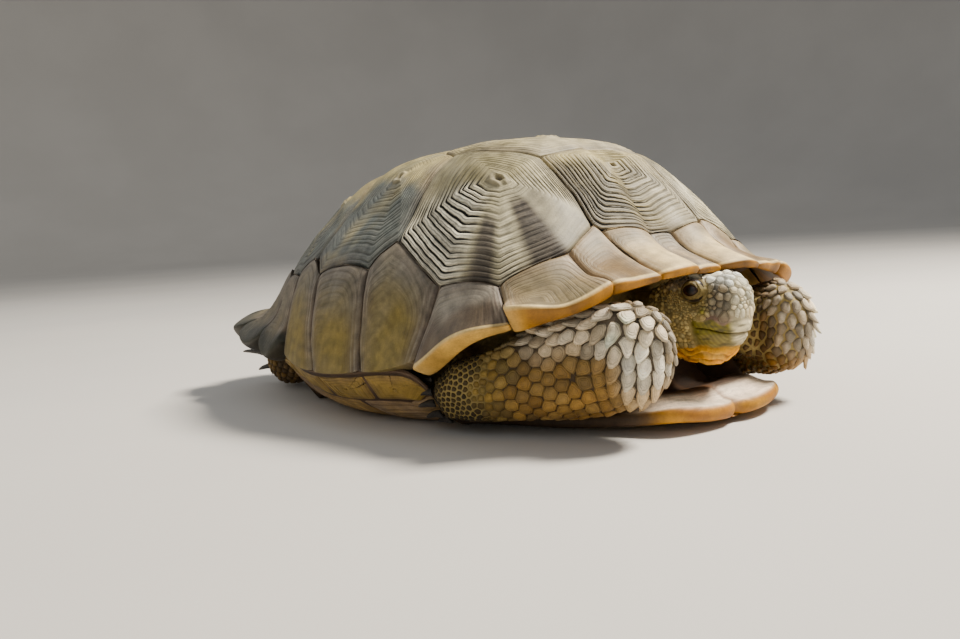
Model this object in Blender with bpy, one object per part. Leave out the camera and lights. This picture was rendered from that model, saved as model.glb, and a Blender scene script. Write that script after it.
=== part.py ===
"""Desert tortoise, life size, half withdrawn: head out under the front lip, elbows forward.

The animal faces -Y with its right side at -X. The origin is on the floor, under the
middle of the whole body's box. Places along the body are written as (forward, left, up)
in units of UNIT, and place() turns them into metres.
"""
import math

import bmesh
import bpy
from mathutils import Vector

# ---------------------------------------------------------------- driving dimensions
# in metres
CARAPACE_LENGTH = 0.250
UNIT = CARAPACE_LENGTH / 0.97
PLATE_THICKNESS = 0.0020
TRUNK_INSET = 0.0042
TRUNK_INSET_AT_RIM = 0.0075
PLASTRON_THICKNESS = 0.0034
GAP = 0.0004
EYE_RADIUS = 0.0043
CLAW_RADIUS = 0.0018
# in UNITs: how far the box's middle lies ahead of the body's own zero
BOX_MIDDLE = -0.0115
# on the shell chart
SEAM_HALF_WIDTH = 0.0020
TOP_CLEARANCE = 0.0045
PLATE_STEP = 0.12
CHART_STEP = 0.012
# shares of the way from a plate's growth spot to its edge
PLATE_RINGS = (0.4, 0.75, 1.0)

# ---------------------------------------------------------------- shell chart
# A chart place is (angle, level): angle in degrees from the front, left positive,
# and level from 0 at the top of the dome to 1 at the rim.
APEX_FORWARD = -0.028
DOME_HEIGHT = 0.440
# angle, reach of the rim from the apex axis, height of the rim
RIM = (
    (0, 0.480, 0.223), (8, 0.503, 0.227), (18, 0.504, 0.215), (28, 0.518, 0.193),
    (42, 0.490, 0.171), (58, 0.428, 0.110), (75, 0.402, 0.091), (90, 0.396, 0.087),
    (108, 0.394, 0.104), (125, 0.416, 0.114), (140, 0.454, 0.119), (155, 0.474, 0.133),
    (169, 0.474, 0.127), (180, 0.468, 0.110),
)
# angle, extra reach of the flared lip below FLARE_START
FLARE = (
    (0, 0.0), (110, 0.0), (125, 0.012), (137, 0.036), (147, 0.060), (158, 0.034), (171, 0.012),
    (180, 0.006),
)
FLARE_START = 0.80
# angle, thickness of the lip in metres
RIM_THICKNESS = ((0, 0.0022), (12, 0.0026), (26, 0.0044), (40, 0.0050), (150, 0.0050), (180, 0.0040))
LEVELS = (0.0, 0.25, 0.50, 0.70, 0.82, 0.91, 1.0)
# share of the rim's reach and of the dome's height at each level
FRONT_SECTION = ((0, 1), (0.30, 0.99), (0.54, 0.88), (0.69, 0.58), (0.80, 0.28), (0.87, 0.13), (1, 0))
SIDE_SECTION = (
    (0, 1), (0.275, 0.972), (0.50, 0.872), (0.70, 0.655), (0.875, 0.43), (0.965, 0.175), (1, 0),
)
REAR_SECTION = (
    (0, 1), (0.275, 0.95), (0.53, 0.785), (0.735, 0.522), (0.845, 0.30), (0.93, 0.124), (1, 0),
)

# corners of the right side's plates, used on both sides
V1_V2 = (23.5, 0.545)
V1_FRONT = (18.0, 0.80)
V2_SIDE = (57, 0.40)
V2_V3 = (85, 0.23)
V3_SIDE = (124, 0.42)
V3_V4 = (152, 0.435)
V4_SIDE = (155, 0.60)
V4_V5 = (167, 0.69)
V5_SIDE = (166, 0.86)
C1_C2_FOOT = (66.5, 0.755)
C2_C3_FOOT = (104, 0.795)
C3_C4_FOOT = (133, 0.815)
# where each marginal seam leaves the costals, and where it meets the rim
MARGINAL_TOPS = (
    (3.5, 0.845), (16.5, 0.815), (25.5, 0.850), (39, 0.905), (51.5, 0.860), (74, 0.810),
    (95.5, 0.825), (113, 0.835), (127, 0.840), (142, 0.850), (156, 0.860), (171, 0.870),
)
MARGINAL_FEET = (3.0, 13, 22, 39.5, 56, 71, 88, 108, 122, 138, 153, 170)
# plates whose top edge peaks where a seam between two costals comes down
MARGINAL_PEAKS = {4: C1_C2_FOOT, 6: C2_C3_FOOT, 8: C3_C4_FOOT, 10: V5_SIDE}

# ---------------------------------------------------------------- plastron
# angle, reach of the plate, lift of its edge
PLASTRON_EDGE = (
    (0, 0.524, 0.010), (7, 0.528, 0.013), (13, 0.520, 0.018), (17, 0.492, 0.014),
    (25, 0.425, 0.006), (36, 0.358, 0.003), (47, 0.330, 0.003), (57, 0.335, 0.006),
    (64, 0.415, 0.099), (75, 0.402, 0.091), (90, 0.396, 0.087), (108, 0.394, 0.104),
    (116, 0.402, 0.108), (122, 0.335, 0.010), (136, 0.350, 0.003), (152, 0.390, 0.003),
    (166, 0.415, 0.004), (174, 0.405, 0.004), (180, 0.370, 0.004),
)
PLASTRON_EXTRA_ANGLES = (30, 52, 69, 82, 99, 144, 159)
PLASTRON_FLAT_SHARE = 0.68


def place(forward, left, up):
    """Turn a body place in UNITs into metres."""
    return Vector((left * UNIT, (BOX_MIDDLE - forward) * UNIT, up * UNIT))


def smooth_table(keys, rows, at):
    """Read a table at one key with a smooth curve through its rows."""
    last = len(keys) - 1
    span = 0
    while span < last - 1 and at >= keys[span + 1]:
        span += 1

    def slope(index):
        before, after = max(index - 1, 0), min(index + 1, last)
        width = keys[after] - keys[before]
        return [(b - a) / width for a, b in zip(rows[before], rows[after])]

    width = keys[span + 1] - keys[span]
    t = (at - keys[span]) / width
    weights = (2 * t**3 - 3 * t**2 + 1, t**3 - 2 * t**2 + t, 3 * t**2 - 2 * t**3, t**3 - t**2)
    starts, ends = slope(span), slope(span + 1)
    return [
        weights[0] * a + weights[1] * width * sa + weights[2] * b + weights[3] * width * sb
        for a, sa, b, sb in zip(rows[span], starts, rows[span + 1], ends)
    ]


def around(table, angle):
    """Read an angle table that is mirrored about the body's middle plane."""
    turned = (angle + 180) % 360 - 180
    keys = [row[0] for row in table]
    rows = [row[1:] for row in table]
    keys = [-keys[1]] + keys + [360 - keys[-2]]
    rows = [rows[1]] + rows + [rows[-2]]
    return smooth_table(keys, rows, abs(turned))


def shell_surface(angle, level):
    """Outer surface of the upper shell, in UNITs."""
    reach, rim_height = around(RIM, angle)
    cosine = math.cos(math.radians(angle))
    front = cosine**2 if cosine > 0 else 0.0
    rear = cosine**2 if cosine < 0 else 0.0
    out, up = 0.0, 0.0
    sections = ((FRONT_SECTION, front), (SIDE_SECTION, 1 - cosine**2), (REAR_SECTION, rear))
    for section, weight in sections:
        share = smooth_table(LEVELS, section, level)
        out += weight * share[0]
        up += weight * share[1]
    lip = max(0.0, (level - FLARE_START) / (1 - FLARE_START))
    radius = reach * out + around(FLARE, angle)[0] * lip**2
    return (
        APEX_FORWARD + radius * cosine,
        radius * math.sin(math.radians(angle)),
        rim_height + (DOME_HEIGHT - rim_height) * up,
    )


def shell_point(u, v, depth=0.0):
    """Shell place for a chart point on the disc, sunk by depth metres along the normal."""
    def at(du, dv):
        x, y = u + du, v + dv
        level = min(math.hypot(x, y), 1.0)
        return place(*shell_surface(math.degrees(math.atan2(y, x)), level))

    here = at(0, 0)
    if not depth:
        return here
    step = CHART_STEP
    radius = max(math.hypot(u, v), 1e-6)
    pull = min(1.0, (1.0 - step) / radius)
    u, v = u * pull, v * pull
    normal = (at(0, step) - at(0, -step)).cross(at(step, 0) - at(-step, 0)).normalized()
    return here + normal * -depth if normal.z > 0 else here + normal * depth


def disc(angle, level):
    """Chart place as a point on the unit disc."""
    return Vector((level * math.cos(math.radians(angle)), level * math.sin(math.radians(angle))))


# ---------------------------------------------------------------- objects
def fresh_scene():
    """Remove every object and make the two collections, each with an empty that holds its pieces."""
    for thing in list(bpy.data.objects):
        bpy.data.objects.remove(thing, do_unlink=True)
    made = {}
    for name in ("desert_tortoise", "cutters"):
        made[name] = bpy.data.collections.new(name)
        bpy.context.scene.collection.children.link(made[name])
        made[name].objects.link(bpy.data.objects.new(f"{name}_base", None))
    return made


def finish(name, colour, roughness):
    """Principled material for one sub-part."""
    material = bpy.data.materials.new(name)
    material.use_nodes = True
    shader = material.node_tree.nodes["Principled BSDF"]
    shader.inputs["Base Color"].default_value = (*colour, 1)
    shader.inputs["Roughness"].default_value = roughness
    shader.inputs["Metallic"].default_value = 0.0
    return material


PLATE_COLOUR = (0.30, 0.22, 0.12)
RIM_COLOUR = (0.42, 0.26, 0.09)
PLASTRON_COLOUR = (0.48, 0.34, 0.17)
FLESH_COLOUR = (0.27, 0.20, 0.12)
SCALED_COLOUR = (0.42, 0.36, 0.26)
EYE_COLOUR = (0.02, 0.012, 0.008)
CLAW_COLOUR = (0.07, 0.055, 0.045)


def new_object(name, shape, collection, colour, roughness=0.6, location=(0, 0, 0)):
    """Give a bmesh an object held by its collection's empty, with its faces pointing out."""
    bmesh.ops.remove_doubles(shape, verts=shape.verts, dist=1e-6)
    bmesh.ops.triangulate(shape, faces=shape.faces)
    bmesh.ops.recalc_face_normals(shape, faces=shape.faces)
    mesh = bpy.data.meshes.new(name)
    shape.to_mesh(mesh)
    shape.free()
    mesh.shade_smooth()
    mesh.set_sharp_from_angle(angle=math.radians(40))
    thing = bpy.data.objects.new(name, mesh)
    thing.location = location
    thing.parent = bpy.data.objects[f"{collection.name}_base"]
    if colour:
        mesh.materials.append(finish(name, colour, roughness))
    collection.objects.link(thing)
    return thing


def stitch(shape, rings):
    """Join a row of closed vertex rings by quads."""
    for ring, following in zip(rings, rings[1:]):
        count = len(ring)
        for index in range(count):
            ahead = (index + 1) % count
            corners = [ring[index], ring[ahead], following[ahead], following[index]]
            unique = list(dict.fromkeys(corners))
            if len(unique) > 2:
                shape.faces.new(unique)


def inset_polygon(corners, width):
    """Move every edge of a chart polygon inwards by the same width."""
    area = sum(a.cross(b) for a, b in zip(corners, corners[1:] + corners[:1]))
    side = 1 if area > 0 else -1
    lines = []
    for start, end in zip(corners, corners[1:] + corners[:1]):
        along = (end - start).normalized()
        inward = Vector((-along.y, along.x)) * side
        lines.append((start + inward * width, along))
    moved = []
    for (p, d), (q, e) in zip(lines[-1:] + lines[:-1], lines):
        turn = d.cross(e)
        if abs(turn) < 1e-6:
            moved.append(q)
        else:
            moved.append(p + d * ((q - p).cross(e) / turn))
    return moved


def plate(name, corners, heart, collection):
    """One closed horny plate over a chart polygon, built out from its first growth spot."""
    ring = inset_polygon([disc(*corner) for corner in corners], SEAM_HALF_WIDTH)
    border = []
    for start, end in zip(ring, ring[1:] + ring[:1]):
        steps = max(1, round((end - start).length / PLATE_STEP))
        border += [start.lerp(end, step / steps) for step in range(steps)]
    centre = disc(*heart)
    shape = bmesh.new()
    skins = []
    for depth in (0.0, PLATE_THICKNESS):
        middle = shape.verts.new(shell_point(*centre, depth))
        rings = [[middle] * len(border)]
        for share in PLATE_RINGS:
            spots = [centre.lerp(edge, share) for edge in border]
            rings.append([shape.verts.new(shell_point(*spot, depth)) for spot in spots])
        stitch(shape, rings)
        skins.append(rings[-1])
    stitch(shape, skins)
    return new_object(name, shape, collection, PLATE_COLOUR, 0.65)


def lip_depth(angle, share):
    """Thickness of a rim plate at a share of the way down to the rim."""
    return PLATE_THICKNESS + (around(RIM_THICKNESS, angle)[0] - PLATE_THICKNESS) * share


def marginal_run(name, first, last, side, collection):
    """A run of rim plates between two seams, thicker at the rim than at its top."""
    shape = bmesh.new()
    columns = []
    for number in range(first, last):
        seam, following = MARGINAL_TOPS[number], MARGINAL_TOPS[number + 1]
        peak = MARGINAL_PEAKS.get(number)
        tops = [seam, peak, following] if peak else [seam, following]
        spans = [(a, b, step / 2) for a, b in zip(tops, tops[1:]) for step in range(2)]
        if number == last - 1:
            spans.append((tops[-2], following, 1.0))
        for start, end, share in spans:
            angle = start[0] + (end[0] - start[0]) * share
            way = (angle - seam[0]) / (following[0] - seam[0])
            foot = MARGINAL_FEET[number] + (MARGINAL_FEET[number + 1] - MARGINAL_FEET[number]) * way
            columns.append((angle, start[1] + (end[1] - start[1]) * share, foot))
    loops = []
    end_gap = math.degrees(SEAM_HALF_WIDTH)
    for index, (top_angle, top_level, foot_angle) in enumerate(columns):
        shift = end_gap * ((index == 0) - (index == len(columns) - 1))
        loop = []
        for sunk in (False, True):
            for share in ((0.0, 0.45, 1.0) if not sunk else (1.0, 0.45, 0.0)):
                angle = (top_angle + (foot_angle - top_angle) * share + shift) * side
                level = top_level + TOP_CLEARANCE + (1 - top_level - TOP_CLEARANCE) * share
                depth = lip_depth(angle, share) if sunk else 0.0
                loop.append(shape.verts.new(shell_point(*disc(angle, level), depth)))
        loops.append(loop)
    stitch(shape, loops)
    shape.faces.new(loops[0])
    shape.faces.new(loops[-1])
    return new_object(name, shape, collection, RIM_COLOUR, 0.55)


def middle_rim_plate(name, seam, collection):
    """The rim plate on the body's middle line, at the front or at the rear."""
    shape = bmesh.new()
    top_angle, top_level = MARGINAL_TOPS[seam]
    foot_angle = MARGINAL_FEET[seam]
    if seam:
        top_angle, foot_angle = 180 - top_angle, 180 - foot_angle
    base = 180 if seam else 0
    loops = []
    end_gap = math.degrees(SEAM_HALF_WIDTH)
    for across in (-1.0, 0.0, 1.0):
        loop = []
        for sunk in (False, True):
            for share in ((0.0, 0.5, 1.0) if not sunk else (1.0, 0.5, 0.0)):
                half = top_angle + (foot_angle - top_angle) * share - end_gap
                level = top_level + TOP_CLEARANCE + (1 - top_level - TOP_CLEARANCE) * share
                depth = lip_depth(base, share) if sunk else 0.0
                loop.append(shape.verts.new(shell_point(*disc(base + across * half, level), depth)))
        loops.append(loop)
    stitch(shape, loops)
    shape.faces.new(loops[0])
    shape.faces.new(loops[-1])
    return new_object(name, shape, collection, RIM_COLOUR, 0.55)


def mirrored(corners):
    """The same chart corners on the other side of the body."""
    return [(-angle, level) for angle, level in corners]


def build_carapace(collection):
    """All the plates of the upper shell."""
    tops = MARGINAL_TOPS
    vertebrals = {
        "vertebral_1": ([V1_V2, V1_FRONT, tops[1], tops[0]], (0, 0.62)),
        "vertebral_2": ([V2_V3, V2_SIDE, V1_V2], (0, 0.28)),
        "vertebral_3": ([V3_V4, V3_SIDE, V2_V3], (180, 0.20)),
        "vertebral_4": ([V4_V5, V4_SIDE, V3_V4], (180, 0.52)),
        "vertebral_5": ([tops[11], V5_SIDE, V4_V5], (180, 0.79)),
    }
    for name, (half, heart) in vertebrals.items():
        plate(name, half + mirrored(half)[::-1], heart, collection)
    costals = (
        ([V1_V2, V1_FRONT, tops[2], tops[3], tops[4], C1_C2_FOOT, V2_SIDE], (36.5, 0.64)),
        ([V2_SIDE, C1_C2_FOOT, tops[5], tops[6], C2_C3_FOOT, V3_SIDE, V2_V3], (81, 0.54)),
        ([V3_SIDE, C2_C3_FOOT, tops[7], tops[8], C3_C4_FOOT, V4_SIDE, V3_V4], (127, 0.60)),
        ([V4_SIDE, C3_C4_FOOT, tops[9], tops[10], V5_SIDE, V4_V5], (152, 0.72)),
    )
    for number, (corners, heart) in enumerate(costals, start=1):
        plate(f"costal_left_{number}", corners, heart, collection)
        plate(f"costal_right_{number}", mirrored(corners), (-heart[0], heart[1]), collection)
    middle_rim_plate("nuchal", 0, collection)
    middle_rim_plate("supracaudal", 11, collection)
    for side, side_name in ((1, "left"), (-1, "right")):
        for first, last, run in ((0, 4, "front"), (4, 7, "bridge"), (7, 11, "rear")):
            marginal_run(f"marginals_{side_name}_{run}", first, last, side, collection)


def plastron_place(angle, share, raised=0.0):
    """Underside of the body at a share of the way out to the plastron's edge."""
    reach, lift = around(PLASTRON_EDGE, angle)
    rise = max(0.0, (share - PLASTRON_FLAT_SHARE) / (1 - PLASTRON_FLAT_SHARE))
    radius = reach * share
    spot = place(
        APEX_FORWARD + radius * math.cos(math.radians(angle)),
        radius * math.sin(math.radians(angle)),
        max(lift, 0.0) * rise**2,
    )
    spot.z += raised
    return spot


def build_plastron(collection):
    """The lower shell: a flat plate whose sides rise to the rim at the bridge."""
    angles = [row[0] for row in PLASTRON_EDGE] + list(PLASTRON_EXTRA_ANGLES)
    angles = sorted(set(angles) | {-angle for angle in angles if 0 < angle < 180})
    shape = bmesh.new()
    skins = []
    for thickness in (0.0, PLASTRON_THICKNESS):
        centre = shape.verts.new(plastron_place(0, 0.0, thickness))
        rings = [[centre] * len(angles)]
        for share in (PLASTRON_FLAT_SHARE, 0.80, 0.92, 1.0):
            ring = []
            for angle in angles:
                in_bridge = around(PLASTRON_EDGE, angle)[1] > 0.05
                if in_bridge and share == 1.0:
                    spot = shell_point(*disc(angle, 1.0), lip_depth(angle, 1.0) if thickness else 0.0)
                    spot.z -= 2 * GAP
                elif in_bridge and share > 0.9:
                    spot = plastron_place(angle, share)
                    spot.xy *= 1 - thickness / spot.xy.length
                    spot.z += thickness / 2
                else:
                    spot = plastron_place(angle, share, thickness)
                ring.append(shape.verts.new(spot))
            rings.append(ring)
        stitch(shape, rings)
        skins.append(rings[-1])
    stitch(shape, skins)
    return new_object("plastron", shape, collection, PLASTRON_COLOUR, 0.5)


# ---------------------------------------------------------------- flesh
# angle, then reach and height of the body wall at its waist and near the plastron
TRUNK_WALL = (
    (0, 0.330, 0.130, 0.300, 0.032), (20, 0.340, 0.130, 0.300, 0.032),
    (45, 0.330, 0.120, 0.265, 0.032), (60, 0.355, 0.120, 0.290, 0.036),
    (75, 0.362, 0.120, 0.300, 0.036), (90, 0.356, 0.120, 0.295, 0.036),
    (108, 0.352, 0.125, 0.290, 0.036), (122, 0.345, 0.125, 0.275, 0.032),
    (145, 0.370, 0.125, 0.310, 0.032), (165, 0.380, 0.125, 0.330, 0.032),
    (180, 0.375, 0.120, 0.320, 0.032),
)
TRUNK_ANGLES = 30
# chart level and depth under the plates of the trunk's upper rings
TRUNK_TOP = (
    (0.25, TRUNK_INSET), (0.50, TRUNK_INSET), (0.70, TRUNK_INSET), (0.84, TRUNK_INSET_AT_RIM),
)
RING_POINTS = 14
HEAD_POINTS = 18
# forward, half width, top and bottom of the head, then of the neck
HEAD_SECTIONS = (
    (0.362, 0.050, 0.190, 0.088), (0.385, 0.0565, 0.200, 0.084), (0.415, 0.0605, 0.208, 0.082),
    (0.445, 0.060, 0.210, 0.084), (0.470, 0.056, 0.2145, 0.087), (0.492, 0.047, 0.2180, 0.097),
    (0.509, 0.0325, 0.207, 0.1135), (0.520, 0.0195, 0.191, 0.135),
)
HEAD_TIP = (0.523, 0.0, 0.155)
# how much narrower the head is at its jaw than at its middle
JAW_TAPER = 0.41
NECK_SECTIONS = (
    (0.285, 0.052, 0.182, 0.080), (0.325, 0.050, 0.182, 0.084), (0.360, 0.046, 0.184, 0.093),
)
HEAD_SQUARENESS = 2.5
EYE_PLACE = (0.463, 0.0475, 0.188)
# centre (forward, left, up), half thickness and half height of each ring; the left side is mirrored
FORELEG_LOWER = (
    ((0.500, 0.146, 0.126), 0.026, 0.044), ((0.484, 0.158, 0.125), 0.042, 0.062),
    ((0.456, 0.177, 0.119), 0.054, 0.075), ((0.405, 0.202, 0.105), 0.051, 0.076),
    ((0.350, 0.229, 0.090), 0.045, 0.068), ((0.290, 0.262, 0.076), 0.039, 0.056),
    ((0.240, 0.290, 0.065), 0.034, 0.049), ((0.207, 0.303, 0.052), 0.026, 0.038),
)
FORELEG_TIPS = ((0.508, 0.140, 0.127), (0.192, 0.308, 0.047))
FORELEG_UPPER = (
    ((0.235, 0.130, 0.125), 0.055, 0.060), ((0.300, 0.135, 0.125), 0.055, 0.062),
    ((0.360, 0.138, 0.122), 0.050, 0.060), ((0.440, 0.135, 0.120), 0.038, 0.050),
)
HINDLEG_LOWER = (
    ((-0.325, 0.190, 0.080), 0.042, 0.044), ((-0.358, 0.208, 0.069), 0.046, 0.050),
    ((-0.393, 0.224, 0.058), 0.048, 0.052), ((-0.422, 0.236, 0.051), 0.042, 0.046),
    ((-0.442, 0.242, 0.048), 0.030, 0.034),
)
HINDLEG_TIPS = ((-0.310, 0.182, 0.084), (-0.452, 0.246, 0.047))
HINDLEG_UPPER = (
    ((-0.200, 0.140, 0.115), 0.055, 0.062), ((-0.260, 0.160, 0.110), 0.054, 0.060),
    ((-0.310, 0.182, 0.094), 0.048, 0.054), ((-0.350, 0.202, 0.074), 0.040, 0.046),
)
TAIL_SECTIONS = (
    ((-0.350, 0.0, 0.118), 0.034, 0.034), ((-0.400, 0.0, 0.112), 0.032, 0.030),
    ((-0.432, 0.004, 0.095), 0.024, 0.022), ((-0.452, 0.010, 0.074), 0.015, 0.014),
)
TAIL_TIPS = ((-0.330, 0.0, 0.118), (-0.462, 0.016, 0.055))
CLAW_POINTS = 6
# root and tip of the claws on the left feet, from the body's middle outwards
FORECLAWS = (
    ((0.218, 0.296, 0.022), (0.166, 0.288, 0.010)), ((0.214, 0.307, 0.031), (0.160, 0.305, 0.018)),
    ((0.212, 0.314, 0.047), (0.158, 0.318, 0.036)), ((0.214, 0.314, 0.064), (0.162, 0.324, 0.056)),
    ((0.222, 0.306, 0.080), (0.172, 0.318, 0.077)),
)
HINDCLAWS = (
    ((-0.424, 0.216, 0.030), (-0.484, 0.212, 0.010)), ((-0.430, 0.232, 0.030), (-0.498, 0.234, 0.014)),
    ((-0.432, 0.248, 0.040), (-0.516, 0.256, 0.024)), ((-0.424, 0.254, 0.060), (-0.548, 0.276, 0.064)),
)


def trunk_shape(grown=0.0):
    """The body inside the shell, grown by a margin when it serves as a cutter."""
    shape = bmesh.new()
    rings = [[shape.verts.new(shell_point(0, 0, TRUNK_INSET - grown))] * TRUNK_ANGLES]
    angles = [360 * step / TRUNK_ANGLES for step in range(TRUNK_ANGLES)]
    for level, sunk in TRUNK_TOP:
        spots = [disc(angle, level) for angle in angles]
        rings.append([shape.verts.new(shell_point(*spot, sunk - grown)) for spot in spots])
    for which in (1, 3):
        ring = []
        for angle in angles:
            wall = around(TRUNK_WALL, angle)
            reach, up = wall[which - 1] + grown / UNIT, wall[which]
            if which == 3:
                up -= grown / UNIT
            cosine, sine = math.cos(math.radians(angle)), math.sin(math.radians(angle))
            ring.append(shape.verts.new(place(APEX_FORWARD + reach * cosine, reach * sine, up)))
        rings.append(ring)
    low = TRUNK_WALL[0][4] * UNIT - grown
    rings.append([shape.verts.new(place(APEX_FORWARD, 0, low / UNIT))] * TRUNK_ANGLES)
    stitch(shape, rings)
    return shape


def section_ring(
    shape, centre, sideways, upward, half_width, half_height, count, square=2.0, taper=0.0
):
    """One rounded ring of a limb or of the head, narrower below by the taper."""
    ring = []
    for step in range(count):
        turn = 2 * math.pi * step / count
        across, along = math.cos(turn), math.sin(turn)
        across = math.copysign(abs(across) ** (2 / square), across)
        along = math.copysign(abs(along) ** (2 / square), along)
        across *= 1 + taper * min(along, 0.0)
        spot = centre + sideways * (half_width * across) + upward * (half_height * along)
        spot.z = max(spot.z, 0.0)
        ring.append(shape.verts.new(spot))
    return ring


def limb_shape(sections, side, tips=None, grown=0.0, count=RING_POINTS):
    """A limb, or a length of one, lofted through its rings."""
    shape = bmesh.new()
    centres = [place(f, side * l, u) for (f, l, u), _, _ in sections]
    rings = []
    for index, (_, thick, high) in enumerate(sections):
        before, after = centres[max(index - 1, 0)], centres[min(index + 1, len(centres) - 1)]
        along = (after - before).normalized()
        sideways = along.cross(Vector((0, 0, 1))).normalized()
        upward = sideways.cross(along)
        sizes = (thick * UNIT + grown, high * UNIT + grown)
        rings.append(section_ring(shape, centres[index], sideways, upward, *sizes, count, 2.2))
    if tips:
        ends = [place(f, side * l, u) for f, l, u in tips]
    else:
        ends = [centres[0], centres[-1]]
    rings.insert(0, [shape.verts.new(ends[0])] * count)
    rings.append([shape.verts.new(ends[1])] * count)
    stitch(shape, rings)
    return shape


def head_shape(sections, tip=None, grown=0.0):
    """The head, with its narrow jaw, or the neck, lofted through upright sections."""
    shape = bmesh.new()
    taper = JAW_TAPER if tip else 0.0
    rings = []
    for forward, half_width, top, bottom in sections:
        centre = place(forward, 0, (top + bottom) / 2)
        half = (top - bottom) / 2 * UNIT + grown
        rings.append(section_ring(
            shape, centre, Vector((1, 0, 0)), Vector((0, 0, 1)), half_width * UNIT + grown, half,
            HEAD_POINTS, HEAD_SQUARENESS, taper,
        ))
    first, last = sections[0], sections[-1]
    back = shape.verts.new(place(first[0], 0, (first[2] + first[3]) / 2))
    front = shape.verts.new(place(*tip) if tip else place(last[0], 0, (last[2] + last[3]) / 2))
    rings.insert(0, [back] * HEAD_POINTS)
    rings.append([front] * HEAD_POINTS)
    stitch(shape, rings)
    return shape


def claw_shape(root, tip, side):
    """A tapering claw that curves down to a blunt tip."""
    shape = bmesh.new()
    start, end = place(root[0], side * root[1], root[2]), place(tip[0], side * tip[1], tip[2])
    bend = start.lerp(end, 0.5) + Vector((0, 0, 0.12 * (end - start).length))
    along = (end - start).normalized()
    sideways = along.cross(Vector((0, 0, 1))).normalized()
    upward = sideways.cross(along)
    rings = [[shape.verts.new(start)] * CLAW_POINTS]
    for share, size in ((0.0, 1.0), (0.45, 0.92), (0.80, 0.58)):
        spot = start.lerp(bend, share).lerp(bend.lerp(end, share), share)
        radius = CLAW_RADIUS * size
        rings.append(section_ring(shape, spot, sideways, upward, radius, radius, CLAW_POINTS))
    rings.append([shape.verts.new(end)] * CLAW_POINTS)
    stitch(shape, rings)
    return shape


def cutter(name, shape, collection, location=(0, 0, 0)):
    """A hidden shape that trims its neighbours."""
    thing = new_object(name, shape, collection, None, location=location)
    thing.hide_render = True
    thing.display_type = "WIRE"
    return thing


def trim(thing, *cutters):
    """Cut a piece back from its neighbours, leaving the gap the cutters hold."""
    for tool in cutters:
        cut = thing.modifiers.new(f"clear_of_{tool.name}", "BOOLEAN")
        cut.operation = "DIFFERENCE"
        cut.solver = "EXACT"
        cut.object = tool


def build_head(parts, cutters, trunk_cutter):
    """Head with its eye hollows, then the eyes and the neck."""
    head = new_object("head", head_shape(HEAD_SECTIONS, HEAD_TIP), parts, SCALED_COLOUR)
    head_cutter = cutter("head_cutter", head_shape(HEAD_SECTIONS, HEAD_TIP, GAP), cutters)
    for side, side_name in ((1, "left"), (-1, "right")):
        for owner, name, radius in ((parts, "eye", EYE_RADIUS), (cutters, "eye_hollow", EYE_RADIUS + GAP)):
            shape = bmesh.new()
            bmesh.ops.create_uvsphere(shape, u_segments=12, v_segments=8, radius=radius)
            spot = place(EYE_PLACE[0], side * EYE_PLACE[1], EYE_PLACE[2])
            if owner is parts:
                new_object(f"{name}_{side_name}", shape, owner, EYE_COLOUR, 0.1, spot)
            else:
                trim(head, cutter(f"{name}_{side_name}", shape, owner, spot))
    neck = new_object("neck", head_shape(NECK_SECTIONS), parts, FLESH_COLOUR)
    trim(neck, trunk_cutter, head_cutter)


def build_limbs(parts, cutters, trunk_cutter):
    """Both pairs of legs with their claws, and the tail."""
    legs = (
        ("fore", FORELEG_UPPER, FORELEG_LOWER, FORELEG_TIPS, FORECLAWS),
        ("hind", HINDLEG_UPPER, HINDLEG_LOWER, HINDLEG_TIPS, HINDCLAWS),
    )
    for side, side_name in ((1, "left"), (-1, "right")):
        for pair, upper_sections, lower_sections, tips, claws in legs:
            lower = new_object(
                f"{pair}leg_{side_name}_lower", limb_shape(lower_sections, side, tips), parts, SCALED_COLOUR
            )
            lower_cutter = cutter(
                f"{pair}leg_{side_name}_cutter", limb_shape(lower_sections, side, tips, GAP), cutters
            )
            upper = new_object(
                f"{pair}leg_{side_name}_upper", limb_shape(upper_sections, side), parts, FLESH_COLOUR
            )
            trim(upper, trunk_cutter, lower_cutter)
            trim(lower, trunk_cutter)
            for number, (root, tip) in enumerate(claws, start=1):
                name = f"{pair}claw_{side_name}_{number}"
                trim(new_object(name, claw_shape(root, tip, side), parts, CLAW_COLOUR, 0.4), lower_cutter)
    tail = new_object("tail", limb_shape(TAIL_SECTIONS, 1, TAIL_TIPS, count=10), parts, FLESH_COLOUR)
    trim(tail, trunk_cutter)


def main():
    """Build the whole tortoise."""
    made = fresh_scene()
    parts, cutters = made["desert_tortoise"], made["cutters"]
    build_carapace(parts)
    build_plastron(parts)
    new_object("trunk", trunk_shape(), parts, FLESH_COLOUR, 0.8)
    trunk_cutter = cutter("trunk_cutter", trunk_shape(GAP), cutters)
    build_head(parts, cutters, trunk_cutter)
    build_limbs(parts, cutters, trunk_cutter)


if __name__ == "__main__":
    main()
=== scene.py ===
"""A life-size desert tortoise at rest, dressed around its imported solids.

The shell's plates, the rim, the lower shell, the skin, its scales, the eyes and the claws are
each a class that holds its own sizes. Places on the body are (forward, left, up) in units of
the shell, and to_row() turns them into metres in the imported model's frame.
"""
import logging
import math
from collections.abc import Callable
from dataclasses import dataclass, field
from enum import Enum
from functools import partial

import bmesh
import bpy
import numpy as np
from bpy.types import Material, Mesh, Node, NodeSocket, NodeTree, Object
from mathutils import Matrix, Vector
from mathutils.bvhtree import BVHTree


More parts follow.
